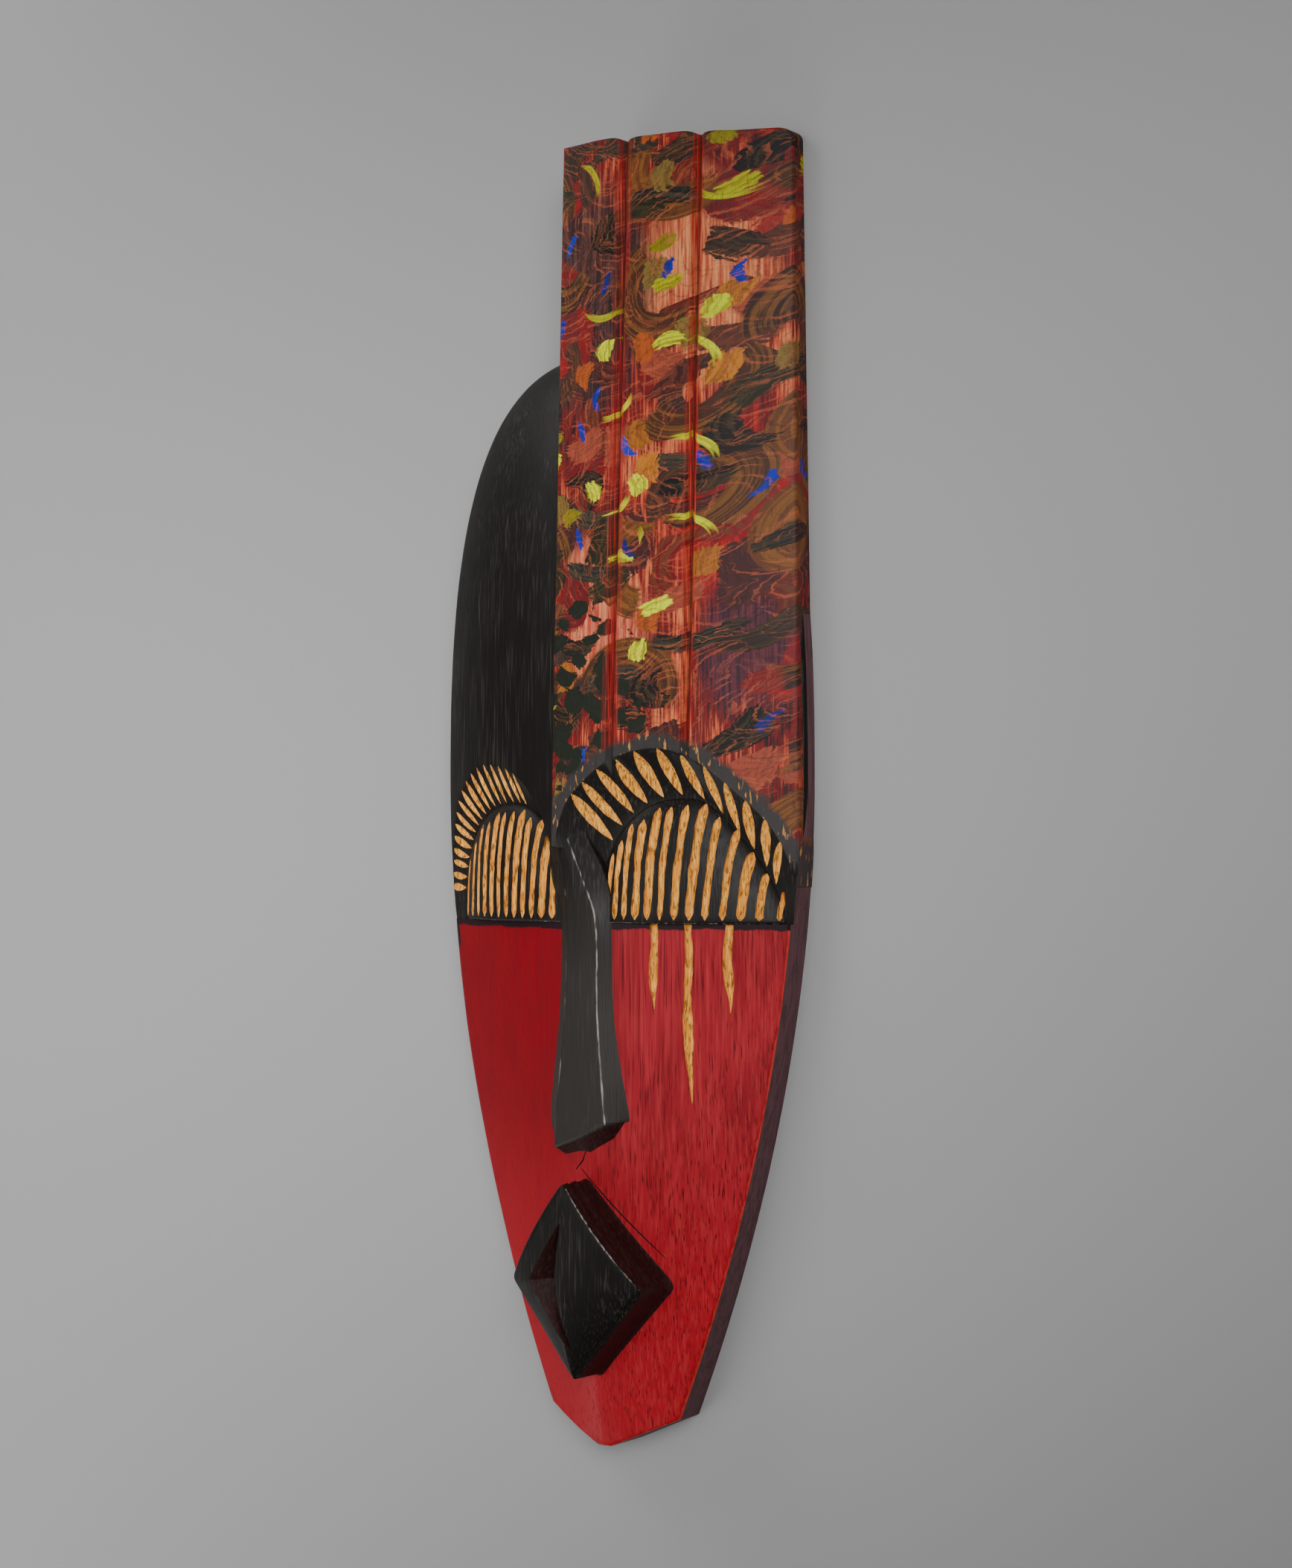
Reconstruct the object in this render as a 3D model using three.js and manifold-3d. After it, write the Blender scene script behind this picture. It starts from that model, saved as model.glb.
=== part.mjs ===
// Tall carved and painted wooden mask, one piece of wood with a hollow back.
// Millimetres. It lies on its back rim: +Z comes out of the face, +Y points to the crest and +X to the
// right as one looks at the face. The carving is laid out about the line through nose, mouth and chin.

import * as THREE from 'three';
import { mergeVertices } from 'three/addons/utils/BufferGeometryUtils.js';
import Module from 'manifold-3d';

const wasm = await Module();
wasm.setup();

// Outline of the face, seen from the front
const tipY = -294;
const crestY = 284;
const domeTopY = 195;
const chinCornerY = -280;
const halfWidth = 96;
const tipHalfWidth = 4;
const lowerLength = 356;
const lowerPower = 1.9;
const domePower = 2.8;
const outlineShift = -2.4;

// Heights above the back rim
const edgeHeight = 15.3;
const edgeUnderPanel = 7;
const ridgeHeight = 42;
const tipHeight = 24;
const chinBendY = -120;
const chinCurve = 2.2;
const domeBendY = 60;
const domeCurve = 0.45;
const faceRoundness = 1.35;
const domeRoundness = 1.9;

// Hollow at the back of the face, and the one behind the panel
const wall = 12;
const rim = 13;
const leastHollow = 2;
const belowBack = -5;
const hollowEnds = [-262, 182];
const panelHollow = { left: 2, right: 70, low: 150, high: 268 };

// Raised painted panel: three reeds with V grooves between them, as section points [x, z]
const panelTop = [[-12, 41.4], [19.8, 38.1], [51.9, 28], [88, 8]];
const panelBrow = [[-14, 47], [15.5, 44.5], [49, 35], [92.6, 11]];
const panelLow = [-28, -46];
const reedBulge = 0.9;
const grooveHalfWidth = 2;
const grooveDepth = 2.4;
const crestCorner = 6;

// Eyes: each lid is a half ellipse above the lid line, inside a bevelled brow under an arch
const lidLineY = -62;
const lidPower = 2.2;
const lidFullness = 0.55;
const lidRise = 4;
const lidFoot = 0.8;
const browDepth = 4.5;
const browCurve = 1.2;
const archLift = 0.3;
const aboveAll = 80;
const rightLid = { x: 46, halfWidth: 41.5, height: 55 };
const leftLid = { x: -48.5, halfWidth: 42, height: 53 };
const rightArch = [[-9, -62], [-12.5, -30], [-9, -14], [-2.5, -4], [15, 9.3], [36, 14.6], [53, 10.5],
  [68, 0.5], [84, -17.5], [92.5, -42], [96, -62]];
const leftArch = [[-98, -62], [-95.5, -38], [-91.5, -12], [-82, 2.5], [-67, 9.5], [-46, 6], [-31, -6],
  [-20, -28], [-13, -62]];

// Leaf cuts along the brows: ends on the arch by length, ends at the lid by angle
const rightLeaves = { count: 12, width: 6.6, depth: 2.6, arch: [0.3, 0.83], angles: [2.27, 0.42] };
const leftLeaves = { count: 17, width: 4.2, depth: 2, arch: [0.085, 0.585], angles: [2.9, 1.36] };

// Grooves in the lids and the three tears under the right one
const lidGrooves = { count: 13, width: 3.8, depth: 1.9, lean: 0.16 };
const rightGrooveEnds = [11.6, 84.6];
const leftGrooveEnds = [-84, -13];
const tears = [{ x: 32.7, length: 37 }, { x: 47.6, length: 79 }, { x: 65, length: 38 }];
const tearWidth = 3.7;
const tearDepth = 2.2;

// Nose: stations from its slanted end up to the brow, with half widths of its front and of its foot
const noseStations = [
  { y: -144, middle: 0, front: 12.9, foot: 21.8, height: 44.6 },
  { y: -102, middle: 0, front: 9, foot: 15.5, height: 44 },
  { y: -62, middle: 0, front: 8, foot: 14, height: 44 },
  { y: -42, middle: -4, front: 6.5, foot: 14, height: 44.5 },
  { y: -22, middle: -9, front: 3.5, foot: 10, height: 46 },
];
const noseEnd = { left: [-13, -161], right: [14.5, -149.7], height: 45.6 };
const noseEndFoot = [[-16, -163.5], [-11, -164.5], [3, -163.4], [14, -156.5], [18, -151]];
const noseEndSides = [[-19, -157], [19.8, -148]];
const noseBack = 28;

// Mouth: a diamond block with a hole sunk left of its ridge
const mouth = { side: 35.4, top: -174, bottom: -262, middle: -220 };
const mouthHeights = { top: 57.4, bottom: 48.4, side: 47.4, ridge: 60, edgeBulge: 4 };
const mouthBack = 20;
const mouthHole = { top: -193, bottom: -246, width: 20, centre: -11, depth: 11 };

const lerp = THREE.MathUtils.lerp;
const clamp = THREE.MathUtils.clamp;
const smoothstep = THREE.MathUtils.smoothstep;

// Half width of the face at a height y
function outlineHalfWidth(y) {
  const lower = (low) => halfWidth * (1 - (-low / lowerLength) ** lowerPower);
  if (y < chinCornerY) return lerp(tipHalfWidth, lower(chinCornerY), (y - tipY) / (chinCornerY - tipY));
  if (y < 0) return lower(y);
  return halfWidth * Math.max(1 - (y / domeTopY) ** domePower, 0) ** (1 / domePower);
}

// Height of the centre line at a height y
function centreHeight(y) {
  const drop = ridgeHeight - (y < 0 ? tipHeight : edgeHeight);
  if (y < chinBendY) return ridgeHeight - drop * ((chinBendY - y) / (chinBendY - tipY)) ** chinCurve;
  const fall = clamp((y - domeBendY) / (domeTopY - domeBendY), 0, 1);
  return ridgeHeight - drop * (1 - (1 - fall ** chinCurve) ** domeCurve);
}

// Height of the folded face and the domed forehead, without nose, lids, mouth and panel
function faceHeight(x, y) {
  const reach = Math.max(outlineHalfWidth(Math.max(y, chinCornerY)), 1);
  const side = clamp(Math.abs(x - outlineShift) / reach, 0, 1);
  const up = smoothstep(y, lidLineY, 0);
  const edge = x > 0 ? lerp(edgeHeight, edgeUnderPanel, up) : edgeHeight;
  return edge + (centreHeight(y) - edge) * (1 - side ** lerp(faceRoundness, domeRoundness, up));
}

// Turns points and faces into a solid with shared vertices
function toSolid(points, faces) {
  const raw = new THREE.BufferGeometry();
  raw.setAttribute('position', new THREE.Float32BufferAttribute(points, 3));
  raw.setIndex(faces);
  const merged = mergeVertices(raw, 1e-4);
  const index = Array.from(merged.index.array);
  const kept = [];
  for (let k = 0; k < index.length; k += 3) {
    const [a, b, c] = index.slice(k, k + 3);
    if (a !== b && b !== c && c !== a) kept.push(a, b, c);
  }
  return new wasm.Manifold(new wasm.Mesh({
    numProp: 3,
    vertProperties: new Float32Array(merged.attributes.position.array),
    triVerts: new Uint32Array(kept),
  }));
}

// One closed solid between a front sheet and a back sheet over the same grid
function sheetSolid(columns, rows, front, back) {
  const points = [];
  for (const sheet of [front, back]) {
    for (let j = 0; j <= rows; j += 1) {
      for (let i = 0; i <= columns; i += 1) points.push(...sheet(i / columns, j / rows));
    }
  }
  const f = (i, j) => j * (columns + 1) + i;
  const b = (i, j) => f(i, j) + (columns + 1) * (rows + 1);
  const faces = [];
  const quad = (p, q, r, s) => faces.push(p, q, r, p, r, s);
  for (let j = 0; j < rows; j += 1) {
    for (let i = 0; i < columns; i += 1) {
      quad(f(i, j), f(i + 1, j), f(i + 1, j + 1), f(i, j + 1));
      quad(b(i, j), b(i, j + 1), b(i + 1, j + 1), b(i + 1, j));
    }
    quad(f(0, j), f(0, j + 1), b(0, j + 1), b(0, j));
    quad(f(columns, j + 1), f(columns, j), b(columns, j), b(columns, j + 1));
  }
  for (let i = 0; i < columns; i += 1) {
    quad(f(i + 1, 0), f(i, 0), b(i, 0), b(i + 1, 0));
    quad(f(i, rows), f(i + 1, rows), b(i + 1, rows), b(i, rows));
  }
  return toSolid(points, faces);
}

// A tapering gouge cut with a V section, along a line of points on the surface
function gouge(line, widths, depth, keelShift = 0.25, lift = 3) {
  const widest = Math.max(...widths);
  const points = [];
  line.forEach((point, index) => {
    const before = line[Math.max(index - 1, 0)];
    const after = line[Math.min(index + 1, line.length - 1)];
    const along = new THREE.Vector2(after.x - before.x, after.y - before.y).normalize();
    const open = widths[index] / 2;
    const deep = (depth * widths[index]) / widest;
    const spread = open * (1 + lift / deep);
    for (const [side, height] of [[spread, lift], [-spread, lift], [-keelShift * open, -deep]]) {
      points.push(point.x - along.y * side, point.y + along.x * side, point.z + height);
    }
  });
  const faces = [0, 2, 1];
  for (let k = 0; k < 3 * (line.length - 1); k += 3) {
    for (const [a, b] of [[0, 1], [1, 2], [2, 0]]) {
      faces.push(k + a, k + b, k + 3 + b, k + a, k + 3 + b, k + 3 + a);
    }
  }
  const last = 3 * (line.length - 1);
  faces.push(last, last + 1, last + 2);
  return toSolid(points, faces);
}

// Body of the face, solid down to the back rim
function bodySolid() {
  const row = (v) => lerp(tipY, domeTopY - 0.5, 0.5 - 0.5 * Math.cos(Math.PI * v));
  const across = (u, y) => outlineShift + outlineHalfWidth(y) * (2 * u - 1);
  const sheet = (height) => (u, v) => {
    const y = row(v);
    const x = across(u, y);
    return [x, y, height(x, y)];
  };
  return sheetSolid(14, 28, sheet(faceHeight), sheet(() => 0));
}

// Hollow of the face, open at the back
function hollowSolid() {
  const sheet = (height) => (u, v) => {
    const y = lerp(...hollowEnds, v);
    const x = outlineShift + (outlineHalfWidth(y) - rim) * (2 * u - 1);
    return [x, y, height(x, y)];
  };
  const roof = (x, y) => Math.max(faceHeight(x, y) - wall, leastHollow);
  return sheetSolid(10, 14, sheet(roof), sheet(() => belowBack));
}

// Section point of the panel at a height y, by its index
function panelPoint(index, y) {
  const down = (crestY - y) / crestY;
  const x = lerp(panelTop[index][0], panelBrow[index][0], down);
  const limit = y < 0 ? outlineShift + outlineHalfWidth(y) + 0.4 : x;
  return [Math.min(x, limit), lerp(panelTop[index][1], panelBrow[index][1], down)];
}

function panelX(place, y) {
  const reed = Math.min(Math.floor(place), 2);
  return lerp(panelPoint(reed, y)[0], panelPoint(reed + 1, y)[0], place - reed);
}

function panelHeight(x, y) {
  const edges = [0, 1, 2, 3].map((index) => panelPoint(index, y));
  const reed = x < edges[1][0] ? 0 : 1 + Number(x >= edges[2][0]);
  const part = clamp((x - edges[reed][0]) / (edges[reed + 1][0] - edges[reed][0]), 0, 1);
  const reedHeight = lerp(edges[reed][1], edges[reed + 1][1], part) + reedBulge * (1 - (2 * part - 1) ** 2);
  const toGroove = Math.min(Math.abs(x - edges[1][0]), Math.abs(x - edges[2][0]));
  return reedHeight - grooveDepth * Math.max(1 - toGroove / grooveHalfWidth, 0);
}

// Top edge of the panel, cut by hand, with a worn corner on the right
function crestLine(x) {
  const past = clamp(x - (panelTop[3][0] - crestCorner), 0, crestCorner);
  const corner = crestCorner - Math.sqrt(crestCorner ** 2 - past ** 2);
  return crestY - 0.8 * corner - 0.6 * (1 - smoothstep(x, -12, 14));
}

function panelSolid() {
  const places = [0, 1, 2].flatMap((reed) => [0, 0.07, 0.3, 0.5, 0.7, 0.93].map((part) => reed + part));
  places.push(2.985, 3);
  const sheet = (height) => (u, v) => {
    const place = places[Math.round(u * (places.length - 1))];
    const low = lerp(...panelLow, place / 3);
    const y = lerp(low, crestLine(panelX(place, crestY)), v);
    const x = panelX(place, y);
    return [x, y, height(x, y)];
  };
  return sheetSolid(places.length - 1, 7, sheet(panelHeight), sheet(() => 0));
}

function panelHollowSolid() {
  const sheet = (height) => (u, v) => {
    const x = lerp(panelHollow.left, panelHollow.right, u);
    const y = lerp(panelHollow.low, panelHollow.high, v);
    return [x, y, height(x, y)];
  };
  const roof = (x, y) => Math.max(panelHeight(x, y) - wall, leastHollow);
  return sheetSolid(4, 2, sheet(roof), sheet(() => belowBack));
}

// Point of a lid at a reach from its middle, by the angle from its right end over the top
function lidPoint(lid, angle, reach = 1) {
  const stretch = (value) => Math.sign(value) * Math.abs(value) ** (2 / lidPower);
  const x = lid.x + reach * lid.halfWidth * stretch(Math.cos(angle));
  return { x, y: lidLineY + reach * lid.height * Math.max(stretch(Math.sin(angle)), 0) };
}

function lidHeight(lid, x, y) {
  const across = Math.abs((x - lid.x) / lid.halfWidth) ** lidPower;
  const up = Math.max((y - lidLineY) / lid.height, 0) ** lidPower;
  const bulge = Math.max(1 - (across + up), 0) ** lidFullness;
  return faceHeight(x, y) - browDepth - lidFoot + (browDepth + lidFoot + lidRise) * bulge;
}

function lidSolid(lid) {
  const reaches = [0, 0.35, 0.65, 0.86, 0.96, 1];
  const sheet = (height) => (u, v) => {
    const reach = reaches[Math.round(v * (reaches.length - 1))];
    const { x, y } = lidPoint(lid, Math.PI * (1 - u), reach);
    return [x, y, height(x, y)];
  };
  return sheetSolid(22, reaches.length - 1, sheet((x, y) => lidHeight(lid, x, y)), sheet(() => 3));
}

function archCurve(arch) {
  return new THREE.SplineCurve(arch.map(([x, y]) => new THREE.Vector2(x, y)));
}

// Point of the bevelled brow between the crease, where out is 0, and the arch, where out is 1
function browPoint(crease, outer, out, surface) {
  const sunk = faceHeight(crease.x, crease.y) - browDepth;
  const height = lerp(sunk, surface(outer.x, outer.y) + archLift, out ** browCurve);
  return [lerp(crease.x, outer.x, out), lerp(crease.y, outer.y, out), height];
}

// Cutter that sinks the brow around a lid: its first row is the lid line, the others run out to the arch
function browCutter(lid, arch, surface) {
  const curve = archCurve(arch);
  const floor = (u, v) => {
    const crease = lidPoint(lid, Math.PI * (1 - u));
    const row = Math.round(4 * v) - 1;
    if (row < 0) return [crease.x, lidLineY, faceHeight(crease.x, crease.y) - browDepth];
    return browPoint(crease, curve.getPointAt(u), row / 3, surface);
  };
  const above = (u, v) => [...floor(u, v).slice(0, 2), aboveAll];
  return sheetSolid(30, 4, above, floor);
}

// Leaf cuts across a brow, wide in the middle and sharp at both ends
function leafCuts(lid, arch, surface, leaves) {
  const curve = archCurve(arch);
  const places = [0.97, 0.75, 0.5, 0.25, 0.06];
  const widths = [0.12, 0.75, 1, 0.8, 0.12].map((share) => share * leaves.width);
  const cuts = [];
  for (let k = 0; k < leaves.count; k += 1) {
    const part = k / (leaves.count - 1);
    const outer = curve.getPointAt(lerp(...leaves.arch, part));
    const crease = lidPoint(lid, lerp(...leaves.angles, part));
    const line = places.map((out) => new THREE.Vector3(...browPoint(crease, outer, out, surface)));
    cuts.push(gouge(line, widths, leaves.depth));
  }
  return cuts;
}

// Grooves that rise from the lid line and lean to the right
function lidCuts(lid, ends) {
  const cuts = [];
  for (let k = 0; k < lidGrooves.count; k += 1) {
    const foot = lerp(...ends, k / (lidGrooves.count - 1));
    const room = 1 - Math.abs((foot - lid.x) / lid.halfWidth) ** lidPower;
    const tall = lid.height * Math.max(room, 0.02) ** (1 / lidPower) - 3;
    const line = [];
    for (let step = 0; step < 6; step += 1) {
      const rise = (step / 5) * tall - 0.2;
      const x = foot + lidGrooves.lean * rise;
      line.push(new THREE.Vector3(x, lidLineY + rise, lidHeight(lid, x, lidLineY + rise)));
    }
    const widths = [1, 1, 1, 0.95, 0.85, 0.4].map((share) => share * lidGrooves.width);
    cuts.push(gouge(line, widths, lidGrooves.depth, 0));
  }
  return cuts;
}

// Tears that run down from the right lid and end in a point
function tearCuts() {
  return tears.map(({ x, length }) => {
    const line = [0, 0.35, 0.75, 1].map((part) => {
      const y = lidLineY + 0.3 - part * length;
      return new THREE.Vector3(x, y, faceHeight(x, y));
    });
    return gouge(line, [1, 1, 0.95, 0.1].map((share) => share * tearWidth), tearDepth, 0);
  });
}

// Nose: flat front between two ridges, sloping flanks, and an end cut on the slant
function noseSolid() {
  const { left, right, height } = noseEnd;
  const middle = [(left[0] + right[0]) / 2, (left[1] + right[1]) / 2];
  const sink = ([x, y]) => [x, y, faceHeight(x, y) - 0.5];
  const [sideLeft, sideRight] = noseEndSides.map(sink);
  const rows = [
    noseEndFoot.map(sink),
    [sideLeft, [...left, height], [...middle, height], [...right, height], sideRight],
  ];
  for (const station of noseStations) {
    const { y, middle: x, front, foot } = station;
    const ridge = (shift) => [x + shift, y, station.height];
    rows.push([sink([x - foot, y]), ridge(-front), ridge(0), ridge(front), sink([x + foot, y])]);
  }
  const at = (u, v) => rows[Math.round(v * (rows.length - 1))][Math.round(4 * u)];
  return sheetSolid(4, rows.length - 1, at, (u, v) => [...at(u, v).slice(0, 2), noseBack]);
}

// Front height of the mouth block: a soft ridge down its middle
function mouthHeight(x, y) {
  const upper = y > mouth.middle;
  const end = upper ? mouth.top : mouth.bottom;
  const reach = clamp((y - mouth.middle) / (end - mouth.middle), 0, 1);
  const vertex = upper ? mouthHeights.top : mouthHeights.bottom;
  const ridge = lerp(mouthHeights.ridge, vertex, reach ** 2);
  const bulge = upper ? 4 * mouthHeights.edgeBulge * reach * (1 - reach) : 0;
  const edge = lerp(mouthHeights.side, vertex, reach) + bulge;
  const side = clamp(Math.abs(x) / Math.max(mouth.side * (1 - reach), 0.01), 0, 1);
  return lerp(ridge, edge, side ** 1.4);
}

function mouthSolid() {
  const sheet = (height) => (u, v) => {
    const x = mouth.side * (u - v);
    const rise = u + v - 1;
    const y = mouth.middle + rise * (rise > 0 ? mouth.top - mouth.middle : mouth.middle - mouth.bottom);
    return [x, y, height(x, y)];
  };
  return sheetSolid(8, 8, sheet(mouthHeight), sheet(() => mouthBack));
}

function mouthHoleCut() {
  const parts = [0, 0.2, 0.5, 0.8, 1];
  const swell = (part) => Math.sin(Math.PI * part) ** 0.9;
  const line = parts.map((part) => {
    const y = lerp(mouthHole.bottom, mouthHole.top, part);
    const x = mouthHole.centre * swell(part);
    return new THREE.Vector3(x, y, mouthHeight(x, y));
  });
  const widths = parts.map((part) => mouthHole.width * Math.max(swell(part), 0.04));
  return gouge(line, widths, mouthHole.depth, 0.35, 4);
}

function carvedMask() {
  const rightBrow = [rightLid, rightArch, panelHeight];
  const leftBrow = [leftLid, leftArch, faceHeight];
  const eyeCuts = [
    ...leafCuts(...rightBrow, rightLeaves), ...leafCuts(...leftBrow, leftLeaves),
    ...lidCuts(rightLid, rightGrooveEnds), ...lidCuts(leftLid, leftGrooveEnds),
  ];
  const add = (solid, pieces) => pieces.reduce((sum, piece) => sum.add(piece), solid);
  const cut = (solid, pieces) => pieces.reduce((rest, piece) => rest.subtract(piece), solid);
  const browed = cut(add(bodySolid(), [panelSolid()]), [browCutter(...rightBrow), browCutter(...leftBrow)]);
  const eyed = cut(add(browed, [lidSolid(rightLid), lidSolid(leftLid)]), eyeCuts);
  const faced = add(eyed, [noseSolid(), mouthSolid()]);
  return cut(faced, [hollowSolid(), panelHollowSolid(), mouthHoleCut(), ...tearCuts()]);
}

// Turns a solid back into a geometry with flat shading
function toGeometry(solid) {
  const { numProp, vertProperties, triVerts } = solid.getMesh();
  const positions = new Float32Array((vertProperties.length / numProp) * 3);
  for (let k = 0; k < positions.length / 3; k += 1) {
    for (let axis = 0; axis < 3; axis += 1) positions[3 * k + axis] = vertProperties[numProp * k + axis];
  }
  const geometry = new THREE.BufferGeometry();
  geometry.setAttribute('position', new THREE.BufferAttribute(positions, 3));
  geometry.setIndex(new THREE.BufferAttribute(new Uint32Array(triVerts), 1));
  return geometry;
}

const paintedWood = new THREE.MeshStandardMaterial({ color: 0x8c1f22, roughness: 0.5, metalness: 0 });
const mask = new THREE.Mesh(toGeometry(carvedMask()), paintedWood);
mask.name = 'carved_mask';

// The origin is the middle of the back, so the carving is moved by half of its uneven reach
mask.position.set(-outlineShift, -(tipY + crestY) / 2, 0);

const object = new THREE.Group();
object.add(mask);
export default object;
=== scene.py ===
"""Tall carved and painted wooden mask, lying on its back rim with its face up.

The carving is laid out in millimetres about the line through nose, mouth and chin: +X to the right as
one looks at the face, +Y to the crest and +Z out of the face. place() moves it into the shared frame.
"""

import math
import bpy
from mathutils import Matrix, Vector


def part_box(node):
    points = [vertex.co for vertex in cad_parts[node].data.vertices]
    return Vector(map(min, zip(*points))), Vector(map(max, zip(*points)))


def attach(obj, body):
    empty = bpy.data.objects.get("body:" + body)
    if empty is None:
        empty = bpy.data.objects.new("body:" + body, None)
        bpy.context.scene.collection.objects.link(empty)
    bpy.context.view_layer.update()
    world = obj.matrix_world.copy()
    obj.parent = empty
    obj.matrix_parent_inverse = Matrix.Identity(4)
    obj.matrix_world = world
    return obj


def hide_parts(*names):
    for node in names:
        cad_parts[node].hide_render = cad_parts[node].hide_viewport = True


bl_info = {
    "name": "Carved Painted Mask",
    "version": (1, 0, 0),
    "blender": (4, 5, 0),
    "location": "3D View > Sidebar > Mask",
    "description": "Carves, gouges and paints a tall wooden mask and sets up its studio",
    "category": "Object",
}

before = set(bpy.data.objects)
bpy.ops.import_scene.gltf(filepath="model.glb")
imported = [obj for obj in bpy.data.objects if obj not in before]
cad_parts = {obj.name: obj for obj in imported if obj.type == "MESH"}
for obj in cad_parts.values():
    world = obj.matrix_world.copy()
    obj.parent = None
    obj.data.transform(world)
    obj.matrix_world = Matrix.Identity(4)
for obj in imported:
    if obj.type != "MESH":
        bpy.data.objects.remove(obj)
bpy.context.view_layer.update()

import bpy
import numpy as np
from mathutils import Matrix, Vector

NODE = "carved_mask"
MM = 0.001

# Outline of the face, seen from the front
TIP_Y = -294
CREST_Y = 284
DOME_TOP_Y = 195
CROWN_Y = 120
CHIN_CORNER_Y = -280
HALF_WIDTH = 96
TIP_HALF_WIDTH = 4
LOWER_LENGTH = 356
LOWER_POWER = 1.9
DOME_POWER = 2.8
OUTLINE_SHIFT = -2.4
MIDDLE_Y = (TIP_Y + CREST_Y) / 2

# Heights above the back rim
EDGE_HEIGHT = 15.3
EDGE_UNDER_PANEL = 7
RIDGE_HEIGHT = 42
TIP_HEIGHT = 24
CHIN_BEND_Y = -120
END_CURVE = 2.2
DOME_BEND_Y = 60
DOME_CURVE = 0.45
FACE_ROUNDNESS = 1.35
DOME_ROUNDNESS = 1.9
EDGE_ROUNDING = 1.4

# Hollow of the back
WALL = 12
RIM = 13
LEAST_HOLLOW = 2
BELOW_BACK = -5
HOLLOW_ENDS = (-262, 182)
PANEL_HOLLOW = {"left": 2, "right": 70, "low": 150, "high": 268}

# Raised painted panel: three reeds with V grooves between them, as section points (x, z)
PANEL_TOP = np.array([(-12, 41.4), (19.8, 38.1), (51.9, 28), (88, 8)])
PANEL_BROW = np.array([(-14, 47), (15.5, 44.5), (49, 35), (92.6, 11)])
PANEL_LOW = (-28, -46)
PANEL_OVERHANG = 0.4
REED_WIDTH = 32
REED_BULGE = 0.9
REED_GROOVE_HALF_WIDTH = 2
REED_GROOVE_DEPTH = 2.4
CREST_CORNER = 6
CREST_NOTCH = 1.6
CREST_NOTCH_WIDTH = 3.2
CREST_FALL = 0.6
CREST_WAVE = 0.3
PANEL_ROUNDING = 1.1

# Eyes: each lid is a half ellipse above the lid line, inside a bevelled brow under an arch
LID_LINE_Y = -62
SIDE_STAIN_Y = -74
LID_POWER = 2.2
LID_FULLNESS = 0.55
LID_RISE = 4
LID_FOOT = 0.8
LID_ROUNDING = 1.1
LID_BACK = 3
BROW_DEPTH = 4.5
BROW_CURVE = 1.2
ARCH_LIFT = 0.3
ABOVE_ALL = 80
RIGHT_LID = {"x": 46, "half_width": 41.5, "height": 55, "right_power": 1.42}
LEFT_LID = {"x": -48.5, "half_width": 42, "height": 53, "right_power": 2.0}
RIGHT_ARCH = np.array([(-9, -62), (-12.5, -30), (-9, -14), (-2.5, -4), (15, 9.3), (36, 14.6), (53, 9),
                       (67, -2.5), (83, -20), (92.5, -43), (96, -62)])
LEFT_ARCH = np.array([(-98, -62), (-95.5, -38), (-91.5, -12), (-82, 2.5), (-67, 9.5), (-46, 6), (-31, -6),
                      (-20, -28), (-13, -62)])

# Leaf cuts along the brows: ends on the arch by length, ends at the lid by angle, lean of the deepest line
RIGHT_LEAVES = {"count": 12, "share": 1.0, "arch": (0.285, 0.82), "crowding": 1.12, "angles": (2.48, 0.54),
                "keel": -0.35}
LEFT_LEAVES = {"count": 17, "share": 0.72, "arch": (0.085, 0.585), "crowding": 1, "angles": (2.9, 1.36),
               "keel": -0.2}
LEAF_SPAN = (0.98, 0.04)
LEAF_WANDER = 0.4
LEAF_UNSTEADINESS = 0.5
LEAST_LEAF_WIDTH = 0.12

# Grooves in the lids and the three tears under the right one
GROOVE_COUNT = 13
GROOVE_LEAN = 0.07
GROOVE_FOOT = 1.6
GROOVE_HEAD = 3.2
LEAST_GROOVE = 16
TEAR_SHARE = 0.95
TEAR_DEPTH = 0.58
RIGHT_GROOVES = {"ends": (11.6, 84.6), "crowding": 1.17}
LEFT_GROOVES = {"ends": (-84, -13), "crowding": 1.0}
TEARS = ((32.7, 37), (47.6, 79), (65, 38))

# Nose: stations (y, middle, half front, half foot, height) from its slanted end up to the brow
NOSE_STATIONS = ((-144, 0, 12.9, 21.8, 44.6), (-102, 0, 9, 15.5, 44), (-62, 0, 8, 14, 44),
                 (-42, -4.5, 5, 15, 44), (-24, -9.5, 2.5, 11, 44.6), (-10, -12, 1, 7, 41.5))
NOSE_END = {"left": (-13, -161), "right": (14.5, -149.7), "height": 45.6}
NOSE_END_FOOT = ((-16, -163.5), (-11, -164.5), (3, -163.4), (14, -156.5), (18, -151))
NOSE_END_SIDES = ((-19, -157), (19.8, -148))
NOSE_END_BEND = (0.12, 0.3)
NOSE_RIDGE_RISE = 0.5
NOSE_BACK = 28
NOSE_ROUNDING = 1.1

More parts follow.
